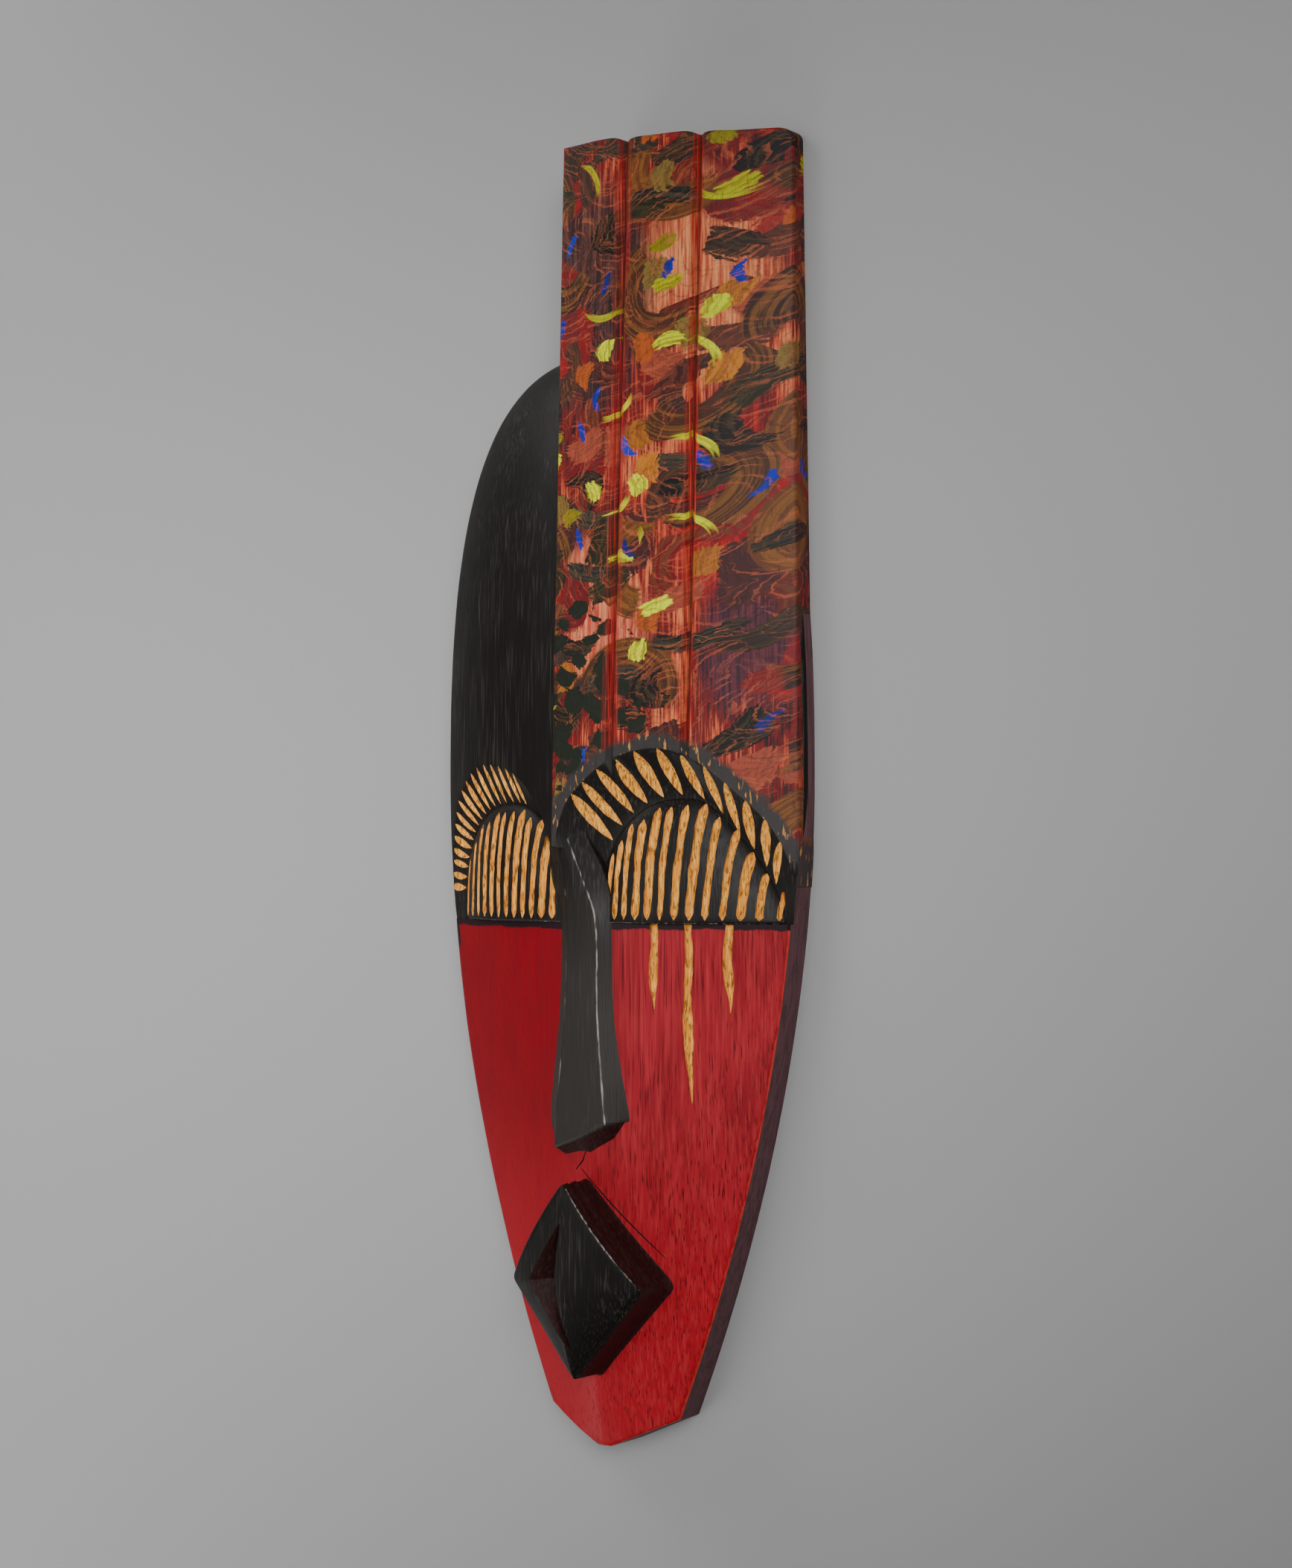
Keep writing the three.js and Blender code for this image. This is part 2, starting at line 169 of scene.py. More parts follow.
# Mouth: a diamond block with a hole sunk left of its ridge
MOUTH = {"side": 35.4, "top": -174, "bottom": -262, "middle": -220}
MOUTH_HEIGHTS = {"top": 57.4, "bottom": 48.4, "side": 47.4, "ridge": 60, "edge_bulge": 4}
MOUTH_ROUNDING = 1.1
MOUTH_CORNER = 3.5
MOUTH_BACK = 20
HOLE_RIM = ((0, -192), (-20.5, -218.5), (3, -247), (-2.5, -215))
HOLE_KEEL = ((-2.5, -197), (-4.5, -217), (1, -243), (-4, -217))
HOLE_DEPTH = 11
HOLE_STEPS = (-0.08, 0, 0.06, 0.2, 0.4, 0.6, 0.8, 1)

# Steep wall of the mouth: share of the way down, and how far out it stands with the upper right's moulding
# and without it
MOUTH_WALL = ((0.1, 0.15, 0.1), (0.17, 0.5, 0.1), (0.2, 0.15, 0.15), (0.27, 0.0, 0.2), (0.38, 0.15, 0.2),
              (0.45, 0.75, 0.2), (0.52, 0.8, 0.25), (0.56, 0.35, 0.25), (0.66, 0.3, 0.3), (0.8, 0.45, 0.3),
              (0.9, 0.7, 0.6), (0.96, 1.2, 1.1), (1.0, 2.0, 1.8))

# Lines cut in the red: a small crack under the nose and the carver's guide line beside the mouth
CRACK = ((0.7, -162.1), (-1.0, -166.5), (-5.1, -170.7))
GUIDE_LINE = ((-2.0, -169.7), (14, -187.2), (33.8, -208.1))
LINE_DEPTH = 0.9
LINE_STEP = 0.8 * MM
SHARP_ANGLE = math.radians(32)


def lerp(a, b, t):
    """Value that lies a share t of the way from a to b."""
    return a + (b - a) * t


def smoothstep(value, low, high):
    """Soft step from 0 at low to 1 at high."""
    t = np.clip((value - low) / (high - low), 0, 1)
    return t * t * (3 - 2 * t)


# Form of the carving

def half_width(y):
    """Half width of the face at the heights y."""
    lower = HALF_WIDTH * (1 - (np.maximum(-y, 0) / LOWER_LENGTH) ** LOWER_POWER)
    corner = HALF_WIDTH * (1 - (-CHIN_CORNER_Y / LOWER_LENGTH) ** LOWER_POWER)
    chin = lerp(TIP_HALF_WIDTH, corner, (y - TIP_Y) / (CHIN_CORNER_Y - TIP_Y))
    left = np.maximum(1 - (np.maximum(y, 0) / DOME_TOP_Y) ** DOME_POWER, 0)
    dome = HALF_WIDTH * left ** (1 / DOME_POWER)
    return np.where(y < CHIN_CORNER_Y, chin, np.where(y < 0, lower, dome))


def centre_height(y):
    """Height of the centre line at the heights y."""
    drop = RIDGE_HEIGHT - np.where(y < 0, TIP_HEIGHT, EDGE_HEIGHT)
    chin = np.clip((CHIN_BEND_Y - y) / (CHIN_BEND_Y - TIP_Y), 0, 1) ** END_CURVE
    fall = np.clip((y - DOME_BEND_Y) / (DOME_TOP_Y - DOME_BEND_Y), 0, 1)
    dome = 1 - (1 - fall ** END_CURVE) ** DOME_CURVE
    return RIDGE_HEIGHT - drop * (chin + dome)


def face_height(x, y):
    """Height of the folded face and the domed forehead, without nose, lids, mouth and panel."""
    reach = np.maximum(half_width(np.maximum(y, CHIN_CORNER_Y)), 1)
    side = np.clip(np.abs(x - OUTLINE_SHIFT) / reach, 0, 1)
    up = smoothstep(y, LID_LINE_Y, 0)
    edge = np.where(x > 0, lerp(EDGE_HEIGHT, EDGE_UNDER_PANEL, up), EDGE_HEIGHT)
    return edge + (centre_height(y) - edge) * (1 - side ** lerp(FACE_ROUNDNESS, DOME_ROUNDNESS, up))


def unevenness(x, y, size=1.0):
    """Slow dips and swells that a knife leaves, about a quarter of a millimetre."""
    slow = np.sin(x / 17 + 1.3 * np.sin(y / 31)) + np.sin(y / 23 + 1.1 * np.sin(x / 19))
    quick = np.sin(x / 5.3 + y / 11) * np.sin(y / 7.9 - x / 13)
    return size * (0.11 * slow + 0.05 * quick)


def rounding_drop(inside, radius):
    """How far a rounded edge lies below the surface, at a distance inside it."""
    short = np.maximum(1 - inside / radius, 0)
    return radius * (1 - np.sqrt(np.maximum(1 - short ** 2, 0)))


def panel_edges(y):
    """Section points of the panel at the heights y, as arrays x and z with four rows."""
    y = np.asarray(y, float)
    shape = (2, 4) + (1,) * y.ndim
    x, z = lerp(PANEL_TOP.T.reshape(shape), PANEL_BROW.T.reshape(shape), (CREST_Y - y) / CREST_Y)
    limit = np.where(y < 0, OUTLINE_SHIFT + half_width(y) + PANEL_OVERHANG, np.inf)
    return np.minimum(x, limit), z


def panel_height(x, y):
    """Height of the panel's three bulging reeds and of the V grooves between them."""
    edges, heights = panel_edges(y)
    reed = (x >= edges[1]).astype(int) + (x >= edges[2])
    pick = lambda rows, shift: np.choose(reed, list(rows[shift:shift + 3]))
    part = np.clip((x - pick(edges, 0)) / (pick(edges, 1) - pick(edges, 0)), 0, 1)
    height = lerp(pick(heights, 0), pick(heights, 1), part) + REED_BULGE * (1 - (2 * part - 1) ** 2)
    to_groove = np.minimum(np.abs(x - edges[1]), np.abs(x - edges[2]))
    return height - REED_GROOVE_DEPTH * np.maximum(1 - to_groove / REED_GROOVE_HALF_WIDTH, 0)


def crest_line(x):
    """Top edge of the panel, cut by hand, with a notch at each groove and a worn corner."""
    past = np.clip(x - (PANEL_TOP[3, 0] - CREST_CORNER), 0, CREST_CORNER)
    corner = CREST_CORNER - np.sqrt(CREST_CORNER ** 2 - past ** 2)
    notch = sum(np.exp(-((x - groove) / CREST_NOTCH_WIDTH) ** 2) for groove in PANEL_TOP[1:3, 0])
    slope = CREST_FALL * (1 - smoothstep(x, PANEL_TOP[0, 0], 14))
    return CREST_Y - 0.8 * corner - slope - CREST_NOTCH * notch + CREST_WAVE * np.sin(x / 6) - CREST_WAVE


def lid_power(lid, x):
    """Roundness of a lid's outline at x: full on the left, with a flatter shoulder on the right."""
    return lerp(LID_POWER, lid["right_power"], smoothstep((x - lid["x"]) / lid["half_width"], -0.3, 0.5))


def lid_top(lid, x):
    """Height of a lid's rim above the lid line at x."""
    room = np.maximum(1 - np.abs((x - lid["x"]) / lid["half_width"]) ** lid_power(lid, x), 0)
    return lid["height"] * room ** (1 / lid_power(lid, x))


def lid_height(lid, x, y):
    """Height of a lid's bulge, which starts below the floor of the brow."""
    across = np.abs((x - lid["x"]) / lid["half_width"]) ** lid_power(lid, x)
    up = np.maximum((y - LID_LINE_Y) / lid["height"], 0) ** lid_power(lid, x)
    bulge = np.maximum(1 - (across + up), 0) ** LID_FULLNESS
    foot = BROW_DEPTH + LID_FOOT
    return face_height(x, y) - foot + (foot + LID_RISE) * bulge


def lid_point(lid, angle):
    """Point of a lid's rim by the angle from its right end over the top."""
    stretch = lambda value: np.sign(value) * np.abs(value) ** (2 / LID_POWER)
    x = lid["x"] + lid["half_width"] * stretch(np.cos(angle))
    return x, LID_LINE_Y + lid_top(lid, x)


def smooth_curve(rows, count, before, after):
    """Rows of points on smooth curves through the given rows; before and after steer the two ends."""
    t = np.linspace(0, len(rows) - 1, count)
    k = np.minimum(t.astype(int), len(rows) - 2)
    f = (t - k).reshape(-1, *[1] * (rows.ndim - 1))
    padded = np.concatenate([[before], rows, [after]]).astype(float)
    before, a, b, after = (padded[k + shift] for shift in range(4))
    start = (b - before) / 2
    end = (after - a) / 2
    bend = (2 * a - 2 * b + start + end) * f ** 3 + (3 * b - 3 * a - 2 * start - end) * f ** 2
    return bend + start * f + a


def arch_points(arch, parts):
    """Points of a smooth curve through an arch, by their share of its length."""
    curve = smooth_curve(arch, 600, arch[0], arch[-1])
    length = np.concatenate([[0], np.cumsum(np.linalg.norm(np.diff(curve, axis=0), axis=1))])
    return [np.interp(np.asarray(parts) * length[-1], length, values) for values in curve.T]


def brow_point(crease, outer, out, surface):
    """Point of the bevelled brow between the crease, where out is 0, and the arch, where out is 1."""
    sunk = face_height(*crease) - BROW_DEPTH
    height = lerp(sunk, surface(*outer) + ARCH_LIFT, out ** BROW_CURVE)
    return np.stack([lerp(crease[0], outer[0], out), lerp(crease[1], outer[1], out), height], -1)


def mouth_height(x, y):
    """Front of the mouth block: a soft ridge down its middle."""
    upper = y > MOUTH["middle"]
    end = np.where(upper, MOUTH["top"], MOUTH["bottom"])
    reach = np.clip((y - MOUTH["middle"]) / (end - MOUTH["middle"]), 0, 1)
    vertex = np.where(upper, MOUTH_HEIGHTS["top"], MOUTH_HEIGHTS["bottom"])
    ridge = lerp(MOUTH_HEIGHTS["ridge"], vertex, reach ** 2)
    bulge = np.where(upper, 4 * MOUTH_HEIGHTS["edge_bulge"] * reach * (1 - reach), 0)
    edge = lerp(MOUTH_HEIGHTS["side"], vertex, reach) + bulge
    side = np.clip(np.abs(x) / np.maximum(MOUTH["side"] * (1 - reach), 0.01), 0, 1)
    return lerp(ridge, edge, side ** 1.4)


# Meshes

def place(points):
    """Millimetres of the carving to metres of the shared frame."""
    low, high = (np.array(corner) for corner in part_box(NODE))
    middle = (low + high) / 2
    shift = np.array([-OUTLINE_SHIFT, -MIDDLE_Y, 0]) * MM
    base = np.array([middle[0], middle[1], low[2]])
    return np.asarray(points) * MM + shift + base


def unplace(points):
    """Metres of the shared frame back to millimetres of the carving."""
    return (points - place(np.zeros(3))) / MM


def add_object(name, data):
    """Object with the given data, linked to the scene."""
    made = bpy.data.objects.new(name, data)
    bpy.context.scene.collection.objects.link(made)
    return made


def mesh_object(name, points, faces, materials, slots):
    """Object from points in millimetres and quads or triangles, with a material number per face."""
    mesh = bpy.data.meshes.new(name)
    mesh.from_pydata(place(points).tolist(), [], [list(face) for face in faces])
    for material in materials:
        mesh.materials.append(material)
    mesh.polygons.foreach_set("material_index", np.asarray(slots, np.int32))
    return add_object(name, mesh)


def grid_faces(numbers):
    """Quads of a grid of vertex numbers, facing up where columns run along +X and rows along +Y."""
    corners = (numbers[:-1, :-1], numbers[:-1, 1:], numbers[1:, 1:], numbers[1:, :-1])
    return np.stack(corners, -1).reshape(-1, 4)


def levelled(sheet, height):
    """The points of a sheet, all moved to one height."""
    return np.concatenate([sheet[..., :2], np.full_like(sheet[..., :1], height)], -1)


def sheet_solid(name, front, back, materials, wall_slot=0, front_slot=0):
    """Closed solid between two sheets of points; a slot is a number or a rule that reads face centres."""
    rows, columns = front.shape[:2]
    numbers = np.arange(rows * columns).reshape(rows, columns)
    loop = np.concatenate([numbers[0, :-1], numbers[:-1, -1], numbers[-1, :0:-1], numbers[:0:-1, 0]])
    after = np.roll(loop, -1)
    behind = rows * columns
    front_faces = grid_faces(numbers)
    walls = np.stack([loop, loop + behind, after + behind, after], -1)
    parts = (front_faces, front_faces[:, ::-1] + behind, walls)
    points = np.concatenate([front.reshape(-1, 3), back.reshape(-1, 3)])
    slots = [rule(points[faces].mean(axis=1)) if callable(rule) else np.full(len(faces), rule)
             for faces, rule in zip(parts, (front_slot, 0, wall_slot))]
    return mesh_object(name, points, np.concatenate(parts), materials, np.concatenate(slots))


def ring_solid(name, rings, materials, slots=0):
    """Closed solid of stacked closed rings, from the top down, shut at both ends by a fan."""
    rings = np.asarray(rings)
    count, around = rings.shape[:2]
    numbers = np.arange(count * around).reshape(count, around)
    turned = np.roll(numbers, -1, axis=1)
    quads = np.stack([numbers[:-1], numbers[1:], turned[1:], turned[:-1]], -1)
    faces = [list(quad) for quad in quads.reshape(-1, 4)]
    top, bottom = count * around, count * around + 1
    faces += [[top, a, b] for a, b in zip(numbers[0], turned[0])]
    faces += [[bottom, b, a] for a, b in zip(numbers[-1], turned[-1])]
    points = np.concatenate([rings.reshape(-1, 3), [rings[0].mean(axis=0)], [rings[-1].mean(axis=0)]])
    face_slots = np.zeros(len(faces), int)
    face_slots[:len(quads) * around] = np.repeat(np.broadcast_to(slots, len(quads)), around)
    return mesh_object(name, points, faces, materials, face_slots)


def eased(steps):
    """Steps from 0 to 1 that start close together, for a rounded edge."""
    return 1 - np.cos(np.linspace(0, math.pi / 2, steps))


def across_steps(width, rounding, steps, middle):
    """Distances from the left edge of each row, close together where the edges are rounded."""
    inner = np.linspace(0, 1, middle + 2)[1:-1]
    width = width[:, None]
    radius = np.minimum(rounding, width * 0.24)
    left = radius * eased(steps)
    return np.hstack([left, radius + (width - 2 * radius) * inner, width - left[:, ::-1]]), radius


def bent(start, corner, end, steps):
    """Points of a curve from start to end that bends towards the corner."""
    return [(1 - t) ** 2 * start + 2 * t * (1 - t) * corner + t ** 2 * end for t in np.linspace(0, 1, steps)]


def rounded_corner(before, corner, after, radius, steps):
    """Short curve that takes the place of a line's corner."""
    start, end = (corner + (other - corner) * min(radius / np.linalg.norm(other - corner), 0.45)
                  for other in (before, after))
    return bent(start, corner, end, steps)


# Node trees

def linear(hex_colour):
    """Scene colour of an sRGB hex value such as #a0522d."""
    value = hex_colour.lstrip("#")
    channels = [int(value[k:k + 2], 16) / 255 for k in (0, 2, 4)]
    return [c / 12.92 if c <= 0.04045 else ((c + 0.055) / 1.055) ** 2.4 for c in channels] + [1.0]


def add(tree, kind, *inputs, stops=(), constant=False, **settings):
    """Adds one node, named without its ShaderNode prefix or in full, and returns its first output.

    Inputs are values or sockets in the node's own order, and a dictionary names further ones. Stops are the
    colours of a ramp, and settings are the node's properties.
    """
    node = tree.nodes.new(kind if "Node" in kind else "ShaderNode" + kind)
    for name, value in settings.items():
        setattr(node, name, value)
    for number, (position, hex_colour) in enumerate(stops):
        ramp = node.color_ramp
        ramp.interpolation = "CONSTANT" if constant else "LINEAR"
        stop = ramp.elements[number] if number < 2 else ramp.elements.new(position)
        stop.position = position
        stop.color = linear(hex_colour)
    for number, given in enumerate(inputs):
        for name, value in (given if isinstance(given, dict) else {number: given}).items():
            if isinstance(value, bpy.types.NodeSocket):
                tree.links.new(value, node.inputs[name])
            else:
                node.inputs[name].default_value = value
    return node.outputs[0] if node.outputs else None


def socket(tree, name, default=None, kind="NodeSocketFloat", way="INPUT"):
    """Adds one named input or output to a node tree's interface."""
    made = tree.interface.new_socket(name=name, in_out=way, socket_type=kind)
    if default is not None:
        made.default_value = default


def gouge_tree():
    """Turns lines into gouge cutters: a round-bottomed section swept along each, with an unsteady hand."""
    tree = bpy.data.node_groups.new("Gouge cuts", "GeometryNodeTree")
    socket(tree, "Lines", kind="NodeSocketGeometry")
    for name, default in (("Depth share", 0.5), ("Keel shift", 0.0), ("Wander", 0.0004),
                          ("Unsteadiness", 0.3), ("Step", 0.0012), ("Seed", 0.0)):
        socket(tree, name, default)
    socket(tree, "Material", kind="NodeSocketMaterial")
    socket(tree, "Cutters", kind="NodeSocketGeometry", way="OUTPUT")
    given = tree.nodes.new("NodeGroupInput").outputs
    curve = add(tree, "GeometryNodeMeshToCurve", given["Lines"])
    fine = add(tree, "GeometryNodeResampleCurve", {"Curve": curve, "Length": given["Step"]}, mode="LENGTH")
    position = add(tree, "GeometryNodeInputPosition")
    seeded = add(tree, "CombineXYZ", given["Seed"], given["Seed"], given["Seed"])
    sample = add(tree, "VectorMath", position, seeded)
    drift = add(tree, "TexNoise", {"Vector": sample, "Scale": 62.0, "Detail": 2.0}).node.outputs["Color"]
    drift = add(tree, "VectorMath", drift, (0.5, 0.5, 0.5), operation="SUBTRACT")
    drift = add(tree, "VectorMath", drift, (1, 0.3, 0), operation="MULTIPLY")
    drift = add(tree, "VectorMath", drift, {"Scale": given["Wander"]}, operation="SCALE")
    moved = add(tree, "GeometryNodeSetPosition", fine, {"Offset": drift})
    width = add(tree, "GeometryNodeInputNamedAttribute", {"Name": "cut_width"}, data_type="FLOAT")
    shake = add(tree, "TexNoise", {"Vector": sample, "Scale": 110.0, "Detail": 2.0})
    shake = add(tree, "Math", shake, 0.5, operation="SUBTRACT")
    shake = add(tree, "Math", shake, given["Unsteadiness"], 1.0, operation="MULTIPLY_ADD")
    radius = add(tree, "Math", width, shake, operation="MULTIPLY")
    upright = add(tree, "GeometryNodeSetCurveNormal", moved, mode="Z_UP")
    circle = add(tree, "GeometryNodeCurvePrimitiveCircle", {"Resolution": 14, "Radius": 0.5})
    deep = add(tree, "Math", given["Depth share"], 2.0, operation="MULTIPLY")
    section = add(tree, "GeometryNodeTransform", circle, {"Scale": add(tree, "CombineXYZ", 1.0, deep, 1.0)})
    height = add(tree, "SeparateXYZ", position).node.outputs["Y"]
    lean = add(tree, "Math", height, given["Keel shift"], operation="MULTIPLY")
    keeled = add(tree, "GeometryNodeSetPosition", section, {"Offset": add(tree, "CombineXYZ", lean)})
    swept = add(tree, "GeometryNodeCurveToMesh", upright, keeled, {"Scale": radius, "Fill Caps": True})
    real = add(tree, "GeometryNodeRealizeInstances", swept)
    add(tree, "NodeGroupOutput", add(tree, "GeometryNodeSetMaterial", real, {"Material": given["Material"]}))
    return tree


def gouge_cutters(name, lines, material, **inputs):
    """Sweeps the gouge tree along lines of (x, y, z, width) in millimetres, and returns a plain mesh."""
    points = np.concatenate(lines)
    edges = []
    first = 0
    for line in lines:
        edges += [(first + k, first + k + 1) for k in range(len(line) - 1)]
        first += len(line)
    mesh = bpy.data.meshes.new(name)
    mesh.from_pydata(place(points[:, :3]).tolist(), edges, [])
    widths = mesh.attributes.new("cut_width", "FLOAT", "POINT")
    widths.data.foreach_set("value", points[:, 3] * MM)
    cutter = add_object(name, mesh)
    tree = bpy.data.node_groups.get("Gouge cuts") or gouge_tree()
    modifier = cutter.modifiers.new("Gouge cuts", "NODES")
    modifier.node_group = tree
    sockets = {item.name: item.identifier for item in tree.interface.items_tree if item.in_out == "INPUT"}
    modifier[sockets["Material"]] = material
    for key, value in inputs.items():
        modifier[sockets[key.replace("_", " ").capitalize()]] = value
    return freeze(cutter)


def freeze(made):
    """Turns an object with modifiers into a plain mesh."""
    bpy.context.view_layer.update()
    evaluated = made.evaluated_get(bpy.context.evaluated_depsgraph_get())
    mesh = bpy.data.meshes.new_from_object(evaluated)
    made.modifiers.clear()
    made.data = mesh
    return made


def combine(target, tools, operation):
    """Joins tools to the target or cuts them from it, and removes them."""
    for tool in tools:
        modifier = target.modifiers.new("Carve", "BOOLEAN")
        modifier.operation = operation
        modifier.solver = "MANIFOLD"
        modifier.material_mode = "TRANSFER"
        modifier.object = tool
    freeze(target)
    for tool in tools:
        bpy.data.objects.remove(tool)


# Pieces of the carving

def body_rows():
    """Heights of the body's rows of points, closer together towards the top."""
    chin = np.linspace(TIP_Y, CHIN_CORNER_Y, 9)
    lower = np.linspace(CHIN_CORNER_Y, LID_LINE_Y, 96)
    upper = np.linspace(LID_LINE_Y, CROWN_Y, 78)
    top = lerp(CROWN_Y, DOME_TOP_Y - 0.05, np.sin(np.linspace(0, math.pi / 2, 46)))
    return np.concatenate([chin, lower[1:], upper[1:], top[1:]])


def body_solid(front_black, front_red, side):
    """Folded face and domed forehead with rounded edges and a flat back."""
    y = body_rows()
    width = half_width(y)
    slope = np.hypot(1, np.gradient(width, y))
    steps, radius = across_steps(2 * width, (EDGE_ROUNDING * slope)[:, None], 6, 74)
    x = OUTLINE_SHIFT - width[:, None] + steps
    y = np.broadcast_to(y[:, None], x.shape)
    inside = np.minimum(steps, 2 * width[:, None] - steps)
    drop = EDGE_ROUNDING * rounding_drop(inside / radius, 1)
    end = rounding_drop(np.minimum(y - TIP_Y, EDGE_ROUNDING) / EDGE_ROUNDING, 1) * 0.6
    front = np.stack([x, y, face_height(x, y) + unevenness(x, y) - np.maximum(drop, end)], -1)
    red_below = lambda centres: (centres[:, 1] < LID_LINE_Y).astype(int)
    walls = lambda centres: np.where((centres[:, 1] < SIDE_STAIN_Y) | (centres[:, 0] > 0), 2, 0)
    return sheet_solid("carved_body", front, levelled(front, 0), [front_black, front_red, side],
                       walls, red_below)


def hollow_solid(material):
    """Hollow behind the face, adzed out to a wall of even thickness."""
    y = np.linspace(*HOLLOW_ENDS, 90)[:, None]
    x = OUTLINE_SHIFT + (half_width(y) - RIM) * np.linspace(-1, 1, 42)
    y = np.broadcast_to(y, x.shape)
    adze = 0.5 * np.abs(np.sin(x / 9 + np.sin(y / 21))) + 0.3 * np.abs(np.sin(y / 16 + x / 31))
    front = np.stack([x, y, np.maximum(face_height(x, y) - WALL - adze, LEAST_HOLLOW)], -1)
    return sheet_solid("hollow", front, levelled(front, BELOW_BACK), [material])


def panel_hollow_solid(material):
    """Hollow behind the raised panel."""
    x, y = np.meshgrid(np.linspace(PANEL_HOLLOW["left"], PANEL_HOLLOW["right"], 24),
                       np.linspace(PANEL_HOLLOW["low"], PANEL_HOLLOW["high"], 36))
    adze = 0.5 * np.abs(np.sin(x / 8 + np.sin(y / 19)))
    front = np.stack([x, y, np.maximum(panel_height(x, y) - WALL - adze, LEAST_HOLLOW)], -1)
    return sheet_solid("panel_hollow", front, levelled(front, BELOW_BACK), [material])


def panel_solid(paint):
    """Raised panel up to its crest, with points close together along the grooves and the edges."""
    groove = REED_GROOVE_HALF_WIDTH / REED_WIDTH
    reed = [0, groove / 3, 2 * groove / 3, groove, *np.linspace(0.1, 0.9, 15), 1 - groove,
            1 - 2 * groove / 3, 1 - groove / 3]
    bend = PANEL_ROUNDING / REED_WIDTH * eased(5)
    first = np.concatenate([bend, np.linspace(bend[-1], 1 - groove, 20)[1:], reed[-2:]])
    last = np.concatenate([reed[:3], np.linspace(groove, 1 - bend[-1], 20)[:-1], 1 - bend[::-1]])
    places = np.concatenate([first, 1 + np.array(reed), 2 + last])
    crest = crest_line(np.interp(places, range(4), PANEL_TOP[:, 0]))
    low = lerp(*PANEL_LOW, places / 3)
    lower = low + (crest - low) * np.linspace(0, 1, 116)[:-2, None]
    turn = np.sin(np.linspace(0, math.pi / 2, 5))[:, None]
    y = np.vstack([lower, crest - 2 * PANEL_ROUNDING, crest - PANEL_ROUNDING + PANEL_ROUNDING * turn])
    edges, _ = panel_edges(y)
    k = np.minimum(places.astype(int), 2)
    column = np.arange(len(places))
    x = lerp(edges[k, :, column], edges[k + 1, :, column], (places - k)[:, None]).T
    side_drop = rounding_drop(np.minimum(x - edges[0], edges[3] - x), PANEL_ROUNDING)
    drop = np.maximum(side_drop, rounding_drop(crest - y, PANEL_ROUNDING))
    front = np.stack([x, y, panel_height(x, y) + unevenness(x, y, 0.8) - drop], -1)
    return sheet_solid("panel", front, levelled(front, 0), [paint])


def lid_solid(lid, material):
    """Bulging eyelid, rounded along its straight lower edge."""
    across = np.sin(np.linspace(-math.pi / 2, math.pi / 2, 64)) * 0.9995
    tall = lid_top(lid, lid["x"] + lid["half_width"] * across)
    rise = np.sin(np.linspace(0, math.pi / 2, 36))
    start = np.minimum(LID_ROUNDING * eased(5)[:, None], tall * 0.1)
    upper = start[-1] + (tall - start[-1]) * rise[1:, None]
    y = LID_LINE_Y + np.concatenate([start, upper])
    x = np.broadcast_to(lid["x"] + lid["half_width"] * across, y.shape)
    drop = rounding_drop(y - LID_LINE_Y, LID_ROUNDING)
    front = np.stack([x, y, lid_height(lid, x, y) + unevenness(x, y, 0.7) - drop], -1)
    return sheet_solid("lid", front, levelled(front, LID_BACK), [material])


def brow_cutter(lid, arch, surface, material):
    """What is cut away over a bevelled brow, from the lid's crease out to the arch."""
    parts = np.linspace(0, 1, 90)
    crease = lid_point(lid, math.pi * (1 - parts))
    outer = arch_points(arch, parts)
    foot = np.stack([crease[0], np.full_like(parts, LID_LINE_Y), face_height(*crease) - BROW_DEPTH], -1)
    floor = np.stack([foot, *(brow_point(crease, outer, out, surface) for out in np.linspace(0, 1, 14))])
    floor[1:-1, :, 2] += unevenness(floor[1:-1, :, 0], floor[1:-1, :, 1], 0.8)
    return sheet_solid("brow", levelled(floor, ABOVE_ALL), floor, [material])


def leaf_lines(lid, arch, surface, leaves):
    """Middle lines of the leaf cuts across a brow, sharp at both ends and bowed a little."""
    parts = np.linspace(0, 1, leaves["count"])
    outers = arch_points(arch, lerp(*leaves["arch"], parts ** leaves["crowding"]))
    creases = lid_point(lid, lerp(*leaves["angles"], parts))
    sizes = bpy.context.scene.mask_sizes
    lines = []
    for k, (outer, crease) in enumerate(zip(zip(*outers), zip(*creases))):
        t = np.linspace(0, 1, 15)
        out = lerp(*LEAF_SPAN, t)[:, None]
        points = np.stack([brow_point(np.array(crease), np.array(outer), float(o), surface) for o in out])
        along = points[-1, :2] - points[0, :2]
        aside = np.array([along[1], -along[0]]) / np.linalg.norm(along)
        bow = np.sin(math.pi * t) * (0.5 + 0.3 * math.sin(2.4 * k))
        points[:, :2] += aside * bow[:, None]
        swell = np.sin(math.pi * t ** 0.85) ** 0.75
        hand = (1 + 0.1 * math.sin(5.1 * k)) * lerp(1.04, 0.84, parts[k])
        width = np.maximum(sizes.leaf_width / MM * leaves["share"] * hand * swell, LEAST_LEAF_WIDTH)
        lines.append(np.column_stack([points, width]))
    return lines


